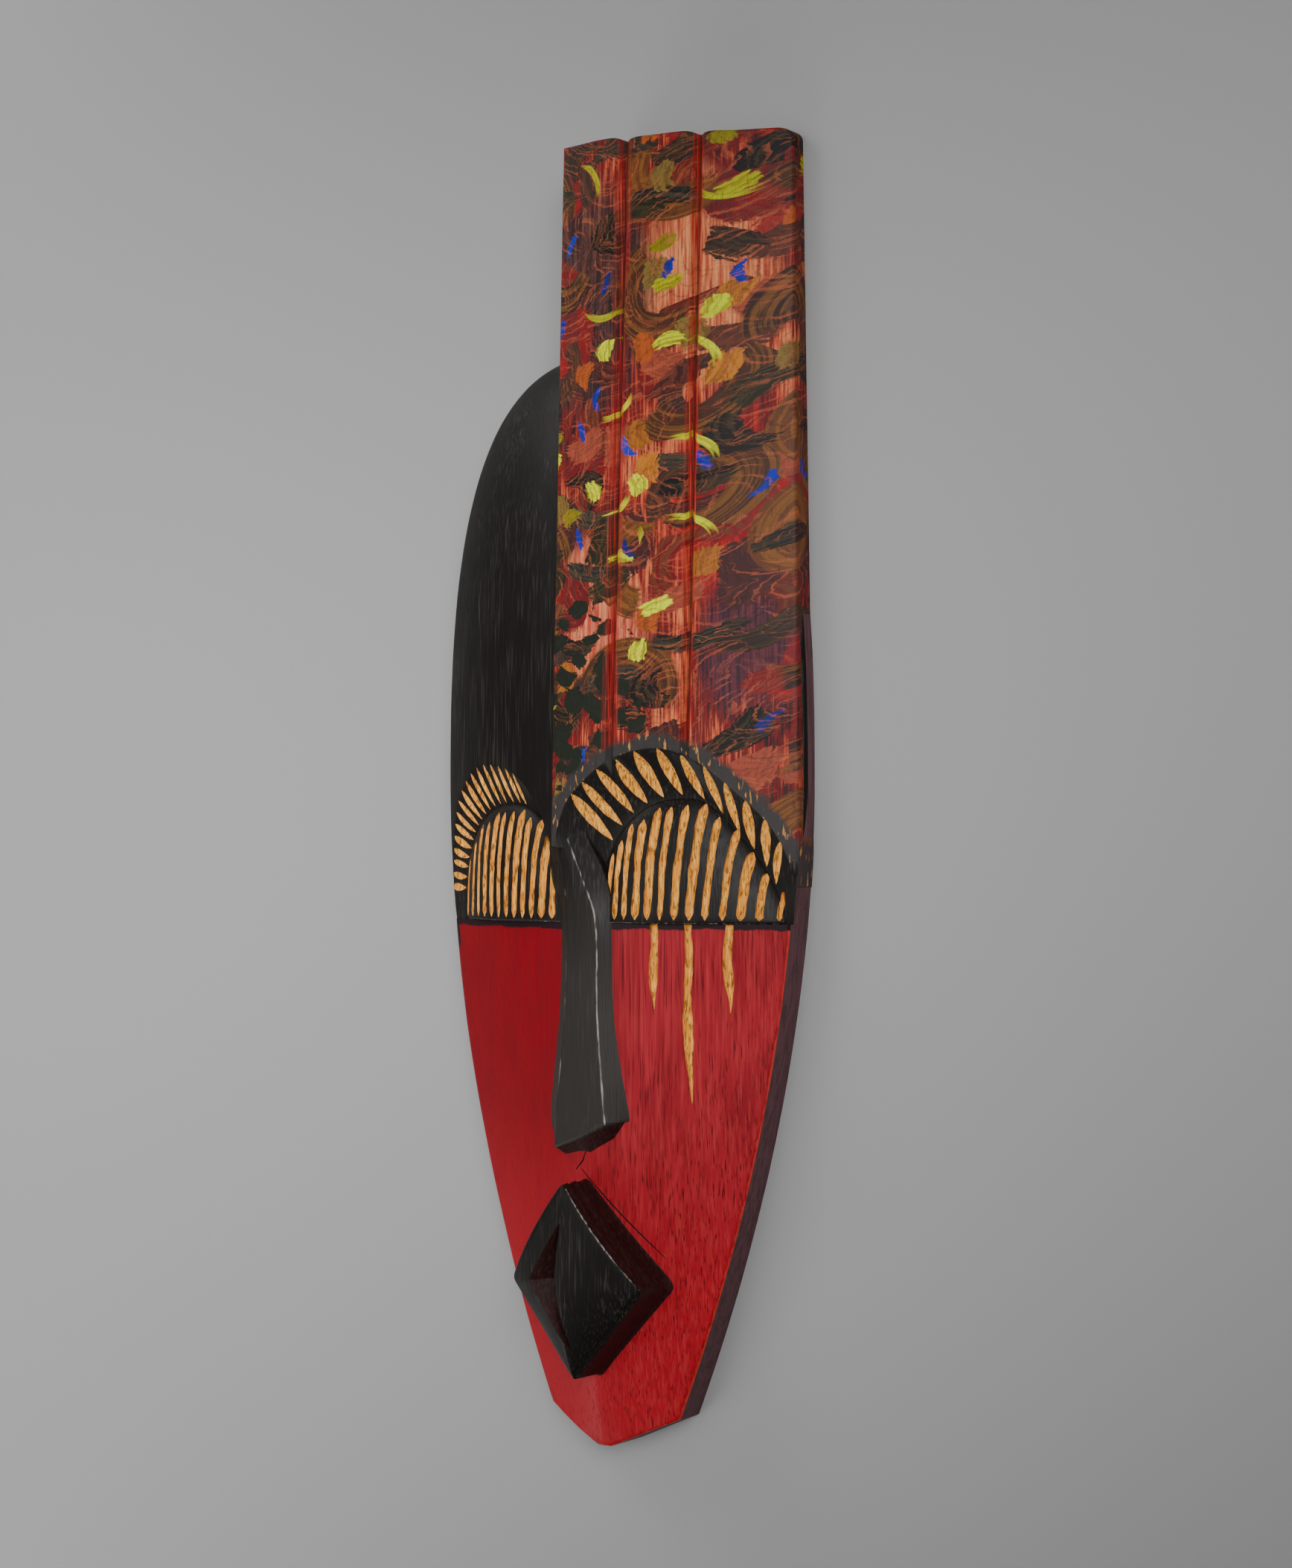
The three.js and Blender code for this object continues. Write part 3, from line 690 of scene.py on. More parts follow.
def groove_lines(lid, grooves):
    """Middle lines of the grooves that rise from the lid line and lean to the right."""
    sizes = bpy.context.scene.mask_sizes
    lines = []
    for k in range(GROOVE_COUNT):
        part = k / (GROOVE_COUNT - 1)
        foot = lerp(*grooves["ends"], part ** grooves["crowding"])
        tall = max(float(lid_top(lid, foot)) - GROOVE_HEAD + 1.2 * math.sin(3.7 * k), LEAST_GROOVE)
        t = np.linspace(0, 1, 18)
        y = LID_LINE_Y + GROOVE_FOOT + t * (tall - GROOVE_FOOT)
        x = foot + GROOVE_LEAN * tall * t ** 1.25 * (0.9 + 0.15 * math.sin(2.1 * k))
        blunt = np.sqrt(np.clip(np.minimum(t / 0.05, (1 - t) / 0.07), 0.02, 1))
        thick = (0.86 + 0.14 * math.sin(1.9 * k + 1)) * lerp(0.86, 1, t ** 2)
        narrow = 1 - 0.35 * max(0, 1 - k / 3)
        width = sizes.groove_width / MM * thick * blunt * narrow
        lines.append(np.column_stack([x, y, lid_height(lid, x, y), width]))
    return lines


def tear_lines():
    """Middle lines of the tears that run down from the lid line, tapering to points."""
    sizes = bpy.context.scene.mask_sizes
    lines = []
    for k, (x, length) in enumerate(TEARS):
        t = np.linspace(0, 1, 22)
        y = LID_LINE_Y - 0.2 - t * length
        bend = 0.5 * np.sin(2.2 * t * math.pi + k) + x
        belly = 0.8 + 0.2 * np.exp(-((t - 0.62) / 0.2) ** 2)
        width = sizes.groove_width / MM * TEAR_SHARE * belly * np.clip((1 - t) / 0.34, 0.03, 1) ** 0.8
        lines.append(np.column_stack([bend, y, face_height(x, y), width]))
    return lines


def surface_line(points, width):
    """Line on the face through points (x, y), narrowing at its ends."""
    points = np.array(points, float)
    t = np.linspace(0, len(points) - 1, 12)
    x = np.interp(t, range(len(points)), points[:, 0])
    y = np.interp(t, range(len(points)), points[:, 1])
    fade = np.sin(np.linspace(0.15, math.pi - 0.15, 12)) ** 0.5
    return np.column_stack([x, y, face_height(x, y) + unevenness(x, y), width * fade])


def nose_sections():
    """Foot line of the nose's end, and sections of five points each: foot, ridge, middle, ridge, foot."""
    sink = lambda x, y: [x, y, float(face_height(np.array(x), np.array(y))) - 0.5]
    left, right, height = NOSE_END["left"], NOSE_END["right"], NOSE_END["height"]
    middle = [*(np.add(left, right) / 2), height + NOSE_RIDGE_RISE]
    rows = [[sink(*NOSE_END_SIDES[0]), [*left, height], middle, [*right, height], sink(*NOSE_END_SIDES[1])]]
    for y, x, front, foot, top in NOSE_STATIONS:
        middle = [x, y, top + NOSE_RIDGE_RISE]
        rows.append([sink(x - foot, y), [x - front, y, top], middle, [x + front, y, top], sink(x + foot, y)])
    rows = np.array(rows)
    sections = smooth_curve(rows, 64, 2 * rows[0] - rows[1], 2 * rows[-1] - rows[-2])
    return np.array([sink(*point) for point in NOSE_END_FOOT]), sections


def nose_solid(material, end_material):
    """Long nose with rounded ridges, whose slanted end takes the dark brown finish of the mouth's walls."""
    foot, sections = nose_sections()
    start = lerp(sections[0], foot, NOSE_END_BEND[0])
    turn = bent(start, sections[0], lerp(sections[0], sections[3], NOSE_END_BEND[1]), 6)
    slope = [lerp(foot, start, t) for t in np.linspace(0, 1, 8)[:-1]]
    between = lambda a, b, shares: [lerp(a, b, t) for t in shares]
    shares = np.linspace(0, 1, 6)[1:]
    grid = []
    for left_foot, left, middle, right, right_foot in (*slope, *turn, *sections[2:]):
        left_bend = rounded_corner(left_foot, left, middle, NOSE_ROUNDING, 6)
        right_bend = rounded_corner(middle, right, right_foot, NOSE_ROUNDING, 6)
        grid.append([*between(left_foot, left, np.linspace(0, 0.9, 7)), *left_bend,
                     *between(left_bend[-1], middle, shares), *between(middle, right_bend[0], shares[:-1]),
                     *right_bend, *between(right, right_foot, np.linspace(0.1, 1, 7))])
    front = np.array(grid)
    front[..., 2] += unevenness(front[..., 0], front[..., 1], 0.5)
    end = lambda centres: (np.arange(len(centres)) < (front.shape[1] - 1) * len(slope)).astype(int)
    return sheet_solid("nose", front, levelled(front, NOSE_BACK), [material, end_material], 0, end)


def mouth_outline():
    """Closed line round the mouth block, anticlockwise from its right corner, with blunt corners."""
    side, middle = MOUTH["side"], MOUTH["middle"]
    corners = np.array([(side, middle), (0, MOUTH["top"]), (-side, middle), (0, MOUTH["bottom"])])
    bends = [rounded_corner(corners[k - 1], corners[k], corners[(k + 1) % 4], MOUTH_CORNER, 9)
             for k in range(4)]
    line = []
    for bend, following in zip(bends, bends[1:] + bends[:1]):
        line += bend[:-1]
        line += [lerp(bend[-1], following[0], t) for t in np.linspace(0, 1, 40)[:-1]]
    return np.array(line)


def mouth_solid(front_material, wall_material):
    """Diamond block of the mouth: a front with a rounded rim over a steep wall."""
    edge = mouth_outline()
    tangent = np.roll(edge, -1, axis=0) - np.roll(edge, 1, axis=0)
    outward = np.stack([tangent[:, 1], -tangent[:, 0]], -1)
    outward /= np.linalg.norm(outward, axis=1)[:, None]
    centre = np.array([0, MOUTH["middle"]])
    top = mouth_height(*edge.T)
    rings = []
    for share in np.linspace(0.02, 0.94, 26):
        flat = centre + (edge - centre) * share
        rings.append(np.column_stack([flat, mouth_height(*flat.T)]))
    for turn in np.linspace(0.15, 1, 6) * math.pi / 2:
        flat = edge - outward * MOUTH_ROUNDING * (1 - math.sin(turn))
        drop = MOUTH_ROUNDING * (1 - math.cos(turn))
        rings.append(np.column_stack([flat, np.minimum(mouth_height(*flat.T), top) - drop]))
    front_count = len(rings)
    foot = face_height(*edge.T) - 1
    upper_right = smoothstep(edge[:, 1], MOUTH["middle"] - 4, MOUTH["middle"] + 8) * (edge[:, 0] > -3)
    for down, moulding, plain in MOUTH_WALL:
        flat = edge + outward * lerp(plain, moulding, upper_right)[:, None]
        rings.append(np.column_stack([flat, lerp(top - MOUTH_ROUNDING, foot, down)]))
    rings.append(np.column_stack([edge * 0.98 + centre * 0.02, np.full(len(edge), MOUTH_BACK)]))
    slots = [0] * (front_count - 1) + [1] * (len(rings) - front_count)
    return ring_solid("mouth", rings, [front_material, wall_material], slots)


def hole_cutter(material):
    """Valley sunk left of the mouth's ridge, deepest close under the ridge."""
    steps = np.linspace(0, 1, 14)[:-1, None]
    rim, keel = (np.concatenate([lerp(a, b, steps) for a, b in zip(corners, np.roll(corners, -1, axis=0))])
                 for corners in (np.array(HOLE_RIM), np.array(HOLE_KEEL)))
    height = mouth_height(*rim.T)
    centre = rim.mean(axis=0)
    rings = [np.column_stack([centre + (rim - centre) * 1.1, height + 6])]
    for down in HOLE_STEPS:
        flat = lerp(keel, rim, 1 - max(down, 0) ** 0.85) + (rim - centre) * (0.02 if down < 0.03 else 0)
        rings.append(np.column_stack([flat, height - HOLE_DEPTH * down]))
    return ring_solid("mouth_hole", rings, [material])


# Finishes

def millimetres(tree, across=1.0, along=1.0, shift=0.0):
    """Object position in millimetres, divided by a pattern's size across and along the grain."""
    where = add(tree, "TexCoord").node.outputs["Object"]
    scale = (1 / (across * MM), 1 / (along * MM), 1 / (across * MM))
    return add(tree, "Mapping", {"Vector": where, "Location": (shift, shift, 0), "Scale": scale})


def patchy(tree, across, along, shift=0.0, detail=2.0):
    """Noise from 0 to 1 in patches sized in millimetres across and along the grain."""
    where = millimetres(tree, across, along, shift)
    return add(tree, "TexNoise", {"Vector": where, "Scale": 1.0, "Detail": detail})


def streaks(tree, across, along, low, high, shift=0.0, detail=2.0):
    """Streaks along the grain, from 0 where the noise is under low to 1 where it is over high."""
    return add(tree, "MapRange", patchy(tree, across, along, shift, detail), low, high,
               interpolation_type="SMOOTHSTEP")


def coat(tree, under, over, *shares):
    """Colour laid over another as far as the product of its shares; each colour may be a hex value."""
    amount = shares[0]
    for share in shares[1:]:
        amount = add(tree, "Math", amount, share, operation="MULTIPLY")
    under, over = (linear(colour) if isinstance(colour, str) else colour for colour in (under, over))
    return add(tree, "Mix", {0: amount, 6: under, 7: over}, data_type="RGBA").node.outputs[2]


def new_finish(name):
    """New material and its empty node tree."""
    finish = bpy.data.materials.new(name)
    finish.use_nodes = True
    finish.node_tree.nodes.clear()
    return finish, finish.node_tree


def surface(tree, colour, roughness, height, relief, **uniform):
    """Shader and output of a finish: relief is the depth in millimetres that a height of 1 stands for."""
    bump = add(tree, "Bump", {"Height": height, "Distance": relief * MM, "Strength": 1.0})
    inputs = {"Base Color": colour, "Roughness": roughness, "Normal": bump}
    inputs |= {name.replace("_", " "): value for name, value in uniform.items()}
    add(tree, "OutputMaterial", {"Surface": add(tree, "BsdfPrincipled", inputs)})


def ragged_distance(tree, guide, patches, size):
    """Distance in millimetres that add_guides stored, made ragged by patches of a size in millimetres."""
    distance = add(tree, "Attribute", attribute_name=guide).node.outputs["Fac"]
    return add(tree, "Math", patches, size, distance, operation="MULTIPLY_ADD")


def worn_edge(tree, reach, guide="worn"):
    """1 on the worn ridges and 0 beyond their reach in millimetres, broken up along the grain."""
    ragged = ragged_distance(tree, guide, patchy(tree, 1.5, 9, detail=3.0), 1.6 * reach)
    return add(tree, "MapRange", ragged, 0.75 * reach, 1.45 * reach, 1.0, 0.0,
               interpolation_type="SMOOTHSTEP")


def ebonised_wood(name, nose_sheen):
    """Wood stained black and waxed: satin, with fine grey fibres; with nose_sheen set, it is painted greyer
    low down, a painted sheen of light.
    """
    finish, tree = new_finish(name)
    colours = bpy.context.scene.mask_colours
    fibres = streaks(tree, 0.7, 26, 0.5, 0.74)
    patches = streaks(tree, 14, 40, 0.36, 0.6, shift=3.1)
    up = add(tree, "SeparateXYZ", millimetres(tree)).node.outputs["Y"]
    # Painted sheen: the black is made greyer below the brow, as if the wax caught the light
    sheen_below_brow = add(tree, "MapRange", up, -22.0, -82.0, 0.0, nose_sheen)
    tone = coat(tree, colours.ebony, colours.ebony_painted_sheen, sheen_below_brow)
    tone = coat(tree, tone, colours.ebony_fibre, fibres, patches, 0.75)
    tone = coat(tree, tone, colours.ebony_worn, worn_edge(tree, 0.8))
    gloss = add(tree, "MapRange", fibres, 0.0, 1.0, 0.4, 0.52)
    surface(tree, tone, gloss, fibres, 0.06, Specular_IOR_Level=0.14)
    return finish


def crimson_stain():
    """Red stain wiped over the wood, with dark open pores: deep on the left, and lighter on the right, where
    a painted sheen of light is laid with paler streaks.
    """
    finish, tree = new_finish("Crimson stained wood")
    colours = bpy.context.scene.mask_colours
    across, up, _ = add(tree, "SeparateXYZ", millimetres(tree)).node.outputs
    right = add(tree, "MapRange", across, -12.0, 26.0, interpolation_type="SMOOTHSTEP")
    # Painted sheen: the right half is made lighter, as if light glanced off its satin stain
    tone = coat(tree, colours.crimson_deep, colours.crimson_painted_sheen, right)
    tone = coat(tree, tone, "#6e0814", streaks(tree, 7, 34, 0.4, 0.66, shift=1.7, detail=4.0), 0.5)
    tone = coat(tree, tone, "#ae0a1d", add(tree, "MapRange", up, -140.0, -215.0), 0.6)
    # Painted sheen: paler streaks on the right half
    tone = coat(tree, tone, "#cf4a45", streaks(tree, 1.1, 55, 0.4, 0.75, shift=5.0), right, 0.25)
    pores = streaks(tree, 0.58, 50, 0.56, 0.7, shift=9.0)
    tone = coat(tree, tone, "#52080f", pores, add(tree, "MapRange", right, 0.0, 1.0, 0.4, 0.95))
    tone = coat(tree, tone, "#cc3c30", worn_edge(tree, 0.8, "rim"))
    wave = patchy(tree, 7, 7, 2.0, 4.0)
    edge = add(tree, "Math", wave, 3.4, up, operation="MULTIPLY_ADD")
    under_lid = add(tree, "MapRange", edge, -58.3, -57.7)
    on_rim = add(tree, "MapRange", ragged_distance(tree, "rim", wave, 3.0), 5.0, 4.4)
    for share in (add(tree, "Math", across, -60.0, operation="LESS_THAN"),
                  add(tree, "MapRange", edge, -69.5, -66.5)):
        on_rim = add(tree, "Math", on_rim, share, operation="MULTIPLY")
    tone = coat(tree, tone, "#241318", add(tree, "Math", under_lid, on_rim, operation="MAXIMUM"))
    gloss = add(tree, "MapRange", pores, 0.0, 1.0, 0.46, 0.6)
    sunk = add(tree, "Math", 1.0, pores, operation="SUBTRACT")
    surface(tree, tone, gloss, sunk, 0.05, Specular_IOR_Level=0.13)
    return finish


def raw_wood():
    """Fresh gouge cuts in pale wood: golden, with torn brown fibres along the grain."""
    finish, tree = new_finish("Raw gouged wood")
    colours = bpy.context.scene.mask_colours
    fibres = streaks(tree, 0.9, 8, 0.36, 0.64, detail=4.0)
    torn = streaks(tree, 0.9, 4.5, 0.53, 0.66, shift=4.0, detail=3.0)
    tone = coat(tree, colours.wood_light, colours.wood_mid, fibres)
    tone = coat(tree, tone, colours.wood_dark, torn, 0.75)
    surface(tree, tone, 0.62, add(tree, "Math", fibres, torn), 0.35, Specular_IOR_Level=0.2)
    return finish


def side_wood():
    """Sawn side with a thin brown-mauve wash: matt, with faint streaks along the edge."""
    finish, tree = new_finish("Mauve washed sawn wood")
    lines = streaks(tree, 1.6, 30, 0.35, 0.7)
    tone = coat(tree, "#5a3a3f", "#452a2e", lines)
    tone = coat(tree, tone, "#6b5052", streaks(tree, 0.5, 0.8, 0.5, 0.75, shift=2.0), 0.4)
    surface(tree, tone, 0.62, lines, 0.08, Specular_IOR_Level=0.3)
    return finish


def walnut_wall():
    """Steep walls of the mouth, stained dark brown over black: knife marks run along them."""
    finish, tree = new_finish("Dark brown stained wood")
    tone = coat(tree, "#23100f", "#3a1d1b", streaks(tree, 1.3, 9, 0.4, 0.75))
    tone = coat(tree, tone, "#7c716a", worn_edge(tree, 0.4))
    surface(tree, tone, 0.5, streaks(tree, 0.5, 5, 0.5, 0.75, shift=6.0), 0.05, Specular_IOR_Level=0.18)
    return finish


def hollow_wood():
    """Back of the mask, adzed and left bare: dry brown wood."""
    finish, tree = new_finish("Bare adzed wood")
    lines = streaks(tree, 1.2, 40, 0.35, 0.7)
    surface(tree, coat(tree, "#8a6440", "#6a482c", lines), 0.75, lines, 0.1, IOR=1.45)
    return finish


# Brushwork of the panel: two node groups, each of which lays one layer of strokes

def painted_place(tree):
    """Object position in millimetres, sheared so that the strokes run on round the panel's edges."""
    across, up, out = add(tree, "SeparateXYZ", millimetres(tree)).node.outputs
    across = add(tree, "Math", out, 0.9, across, operation="MULTIPLY_ADD")
    up = add(tree, "Math", out, 0.5, up, operation="MULTIPLY_ADD")
    return add(tree, "CombineXYZ", across, up)


def stroke_tree(name, inputs):
    """New node group with its inputs and the outputs that every layer of strokes has."""
    tree = bpy.data.node_groups.new(name, "ShaderNodeTree")
    for label, default in inputs.items():
        socket(tree, label, default)
    for label in ("Mask", "Pick", "Streak"):
        socket(tree, label, way="OUTPUT")
    return tree, tree.nodes.new("NodeGroupInput").outputs


def stroke_cells(tree, given, where, randomness):
    """One cell for each stroke: the place from the cell's middle, and three random shares of its own."""
    size = add(tree, "Math", 1.0, given["Cell"], operation="DIVIDE")
    cells = add(tree, "VectorMath", where, {"Scale": size}, operation="SCALE")
    cells = add(tree, "VectorMath", cells, add(tree, "CombineXYZ", given["Seed"], given["Seed"]))
    cell = add(tree, "TexVoronoi", {"Vector": cells, "Scale": 1.0, "Randomness": randomness},
               voronoi_dimensions="2D").node.outputs
    local = add(tree, "VectorMath", cells, cell["Position"], operation="SUBTRACT")
    return local, add(tree, "SeparateColor", cell["Color"]).node.outputs


def bristle_marks(tree, along, across, apart, spread):
    """Marks of the bristles in a stroke, and how dry the brush is there, from -0.5 to 0.5."""
    apart = add(tree, "Math", apart, spread, operation="MULTIPLY")
    brushed = add(tree, "CombineXYZ", along, across, apart)
    streak = add(tree, "TexNoise", {"Vector": brushed, "Scale": 0.9, "Detail": 2.0})
    return streak, add(tree, "Math", streak, 0.5, operation="SUBTRACT")


def far_out(tree, value, reach, power):
    """Distance of a value from 0 as a share of its reach, raised to a power."""
    share = add(tree, "Math", value, reach, operation="DIVIDE")
    share = add(tree, "Math", share, operation="ABSOLUTE")
    return add(tree, "Math", share, power, operation="POWER")


def finish_strokes(tree, given, mask, chance, pick, streak):
    """Keeps the wanted amount of the strokes and hands out the layer."""
    kept = add(tree, "Math", chance, given["Amount"], operation="LESS_THAN")
    mask = add(tree, "Math", mask, kept, operation="MULTIPLY")
    add(tree, "NodeGroupOutput", mask, pick, streak)
    return tree


def brush_dab_tree():
    """One layer of brush dabs: square-ended strokes, one in each cell, turned, bent and streaked."""
    tree, given = stroke_tree("Brush dabs", {"Cell": 14.0, "Length": 0.45, "Width": 0.3, "Turn": 1.0,
                                             "Heading": 1.57, "Bend": 0.6, "Seed": 0.0, "Amount": 0.6})
    where = painted_place(tree)
    ragged = add(tree, "TexNoise", {"Vector": where, "Scale": 0.55, "Detail": 3.0}).node.outputs["Color"]
    ragged = add(tree, "VectorMath", ragged, (0.5, 0.5, 0.5), operation="SUBTRACT")
    ragged = add(tree, "VectorMath", ragged, {"Scale": 2.6}, operation="SCALE")
    local, chance = stroke_cells(tree, given, add(tree, "VectorMath", where, ragged), 0.85)
    turned = add(tree, "Math", chance[0], 0.5, operation="SUBTRACT")
    turned = add(tree, "Math", turned, given["Turn"], given["Heading"], operation="MULTIPLY_ADD")
    local = add(tree, "VectorRotate", {"Vector": local, "Angle": turned}, rotation_type="Z_AXIS")
    along, across, _ = add(tree, "SeparateXYZ", local).node.outputs
    bend = add(tree, "Math", chance[1], 0.5, operation="SUBTRACT")
    bend = add(tree, "Math", bend, given["Bend"], operation="MULTIPLY")
    bend = add(tree, "Math", bend, 8.0, operation="MULTIPLY")
    along_squared = add(tree, "Math", along, along, operation="MULTIPLY")
    across = add(tree, "Math", along_squared, bend, across, operation="MULTIPLY_ADD")
    outside = add(tree, "Math", far_out(tree, along, given["Length"], 3.0),
                  far_out(tree, across, given["Width"], 3.0))
    streak, dry = bristle_marks(tree, add(tree, "Math", along, 0.9, operation="MULTIPLY"),
                                add(tree, "Math", across, given["Cell"], operation="MULTIPLY"),
                                chance[0], 50.0)
    edge = add(tree, "Math", dry, 2.4, outside, operation="MULTIPLY_ADD")
    pick = add(tree, "Math", chance[0], chance[1])
    pick = add(tree, "Math", pick, 7.13, operation="MULTIPLY")
    pick = add(tree, "Math", pick, operation="FRACT")
    return finish_strokes(tree, given, add(tree, "MapRange", edge, 1.0, 0.72), chance[2], pick, streak)


def curved_stroke_tree():
    """One layer of curved strokes: parts of rings whose bristle marks follow the bend."""
    tree, given = stroke_tree("Curved strokes", {"Cell": 30.0, "Bend radius": 0.32, "Width": 0.1,
                                                 "Arc": 0.2, "Seed": 0.0, "Amount": 0.7})
    local, chance = stroke_cells(tree, given, painted_place(tree), 0.6)
    level = add(tree, "VectorMath", local, (1, 0.75, 0), operation="MULTIPLY")
    far = add(tree, "VectorMath", level, operation="LENGTH").node.outputs["Value"]
    heading = add(tree, "Math", chance[0], math.tau, operation="MULTIPLY")
    toward = add(tree, "CombineXYZ", add(tree, "Math", heading, operation="COSINE"),
                 add(tree, "Math", heading, operation="SINE"))
    unit = add(tree, "VectorMath", level, operation="NORMALIZE")
    facing = add(tree, "VectorMath", unit, toward, operation="DOT_PRODUCT").node.outputs["Value"]
    off_line = add(tree, "Math", far, given["Bend radius"], operation="SUBTRACT")
    streak, dry = bristle_marks(tree, add(tree, "Math", far, given["Cell"], operation="MULTIPLY"), facing,
                                chance[1], 40.0)
    edge = add(tree, "Math", dry, 1.8, far_out(tree, off_line, given["Width"], 2.5),
               operation="MULTIPLY_ADD")
    end = add(tree, "Math", dry, 0.5, facing, operation="MULTIPLY_ADD")
    open_end = add(tree, "MapRange", end, given["Arc"], add(tree, "Math", given["Arc"], 0.12))
    mask = add(tree, "Math", add(tree, "MapRange", edge, 1.0, 0.7), open_end, operation="MULTIPLY")
    return finish_strokes(tree, given, mask, chance[2], chance[1], streak)


# Layers of strokes on the panel, from the first to the last: tree, inputs, colours, and the colour where the
# paint is thin
PAINT_LAYERS = (
    ("Brush dabs", {"Cell": 30, "Length": 0.5, "Width": 0.36, "Turn": 0.5, "Bend": 0.2, "Seed": 3.1,
                    "Amount": 0.4}, ("#6a0e14", "#8c0a12", "#3a1c1c", "#902420", "#44282a", "#7a1216"),
     "#4a2422"),
    ("Curved strokes", {"Cell": 33, "Bend radius": 0.3, "Width": 0.12, "Arc": -0.1, "Seed": 8.7,
                        "Amount": 0.8}, ("#3c241c", "#6a0c12", "#5a1a16", "#34221f"), "#5e3a20"),
    ("Brush dabs", {"Cell": 19, "Length": 0.5, "Width": 0.3, "Turn": 3.1, "Bend": 0.4, "Seed": 11.4,
                    "Amount": 0.42}, ("#8c0a12", "#4a281e", "#740c14", "#94402c", "#3a1818"), "#6a3424"),
    ("Curved strokes", {"Cell": 44, "Bend radius": 0.31, "Width": 0.12, "Arc": -0.05, "Seed": 5.7,
                        "Amount": 0.9}, ("#402418", "#6e0e14", "#5c3418", "#301c18"), "#84541f"),
    ("Brush dabs", {"Cell": 29, "Length": 0.42, "Width": 0.14, "Turn": 0.3, "Heading": 0.1, "Bend": 0.2,
                    "Seed": 71.2, "Amount": 0.36}, ("#23251f", "#2c2420", "#181a16"), "#4c4430"),
    ("Brush dabs", {"Cell": 20, "Length": 0.5, "Width": 0.26, "Turn": 3.1, "Bend": 0.5, "Seed": 21.9,
                    "Amount": 0.46}, ("#0c100c", "#181614", "#2a1c18", "#120f10", "#202012"), "#443820"),
    ("Brush dabs", {"Cell": 16, "Length": 0.42, "Width": 0.24, "Turn": 0.8, "Bend": 0.3, "Seed": 31.2,
                    "Amount": 0.24}, ("#9a5c18", "#a84c18", "#74602a", "#b8701c"), "#5e3414"),
    ("Brush dabs", {"Cell": 17, "Length": 0.28, "Width": 0.19, "Turn": 3.1, "Bend": 0.4, "Seed": 47.5,
                    "Amount": 0.26}, ("#c4d000", "#a4a400", "#d2dc00", "#80780c"), "#6a5c10"),
    ("Curved strokes", {"Cell": 40, "Bend radius": 0.3, "Width": 0.028, "Arc": 0.82, "Seed": 15.2,
                        "Amount": 0.8}, ("#ccd600", "#a8b000"), "#8a7810"),
    ("Brush dabs", {"Cell": 22, "Length": 0.22, "Width": 0.06, "Turn": 1.0, "Bend": 0.5, "Seed": 61.3,
                    "Amount": 0.26}, ("#04209c", "#031a70", "#0a30b0"), "#101c50"),
)

# Colours of the ground under everything else, by their places on its ramp
GROUND_STOPS = ((0.42, "#1c1212"), (0.52, "#43181a"), (0.6, "#7c0c12"), (0.68, "#521e18"), (0.78, "#b03a26"),
                (0.9, "#d07848"))

# Broad areas under the strokes: middle, reach, dark and light colours of their streaks
PAINT_ZONES = (
    ((58, 222, 20), 30, "#a83a22", "#e0905c"),
    ((14, 78, 44), 22, "#b03626", "#e08a62"),
    ((2, 222, 40), 34, "#241818", "#4c3430"),
    ((62, 128, 26), 28, "#7c0a10", "#a81c1a"),
    ((76, 62, 20), 20, "#2e1c2a", "#5c2a34"),
)
CLUSTER_PLACE = (-2, 42, 45)


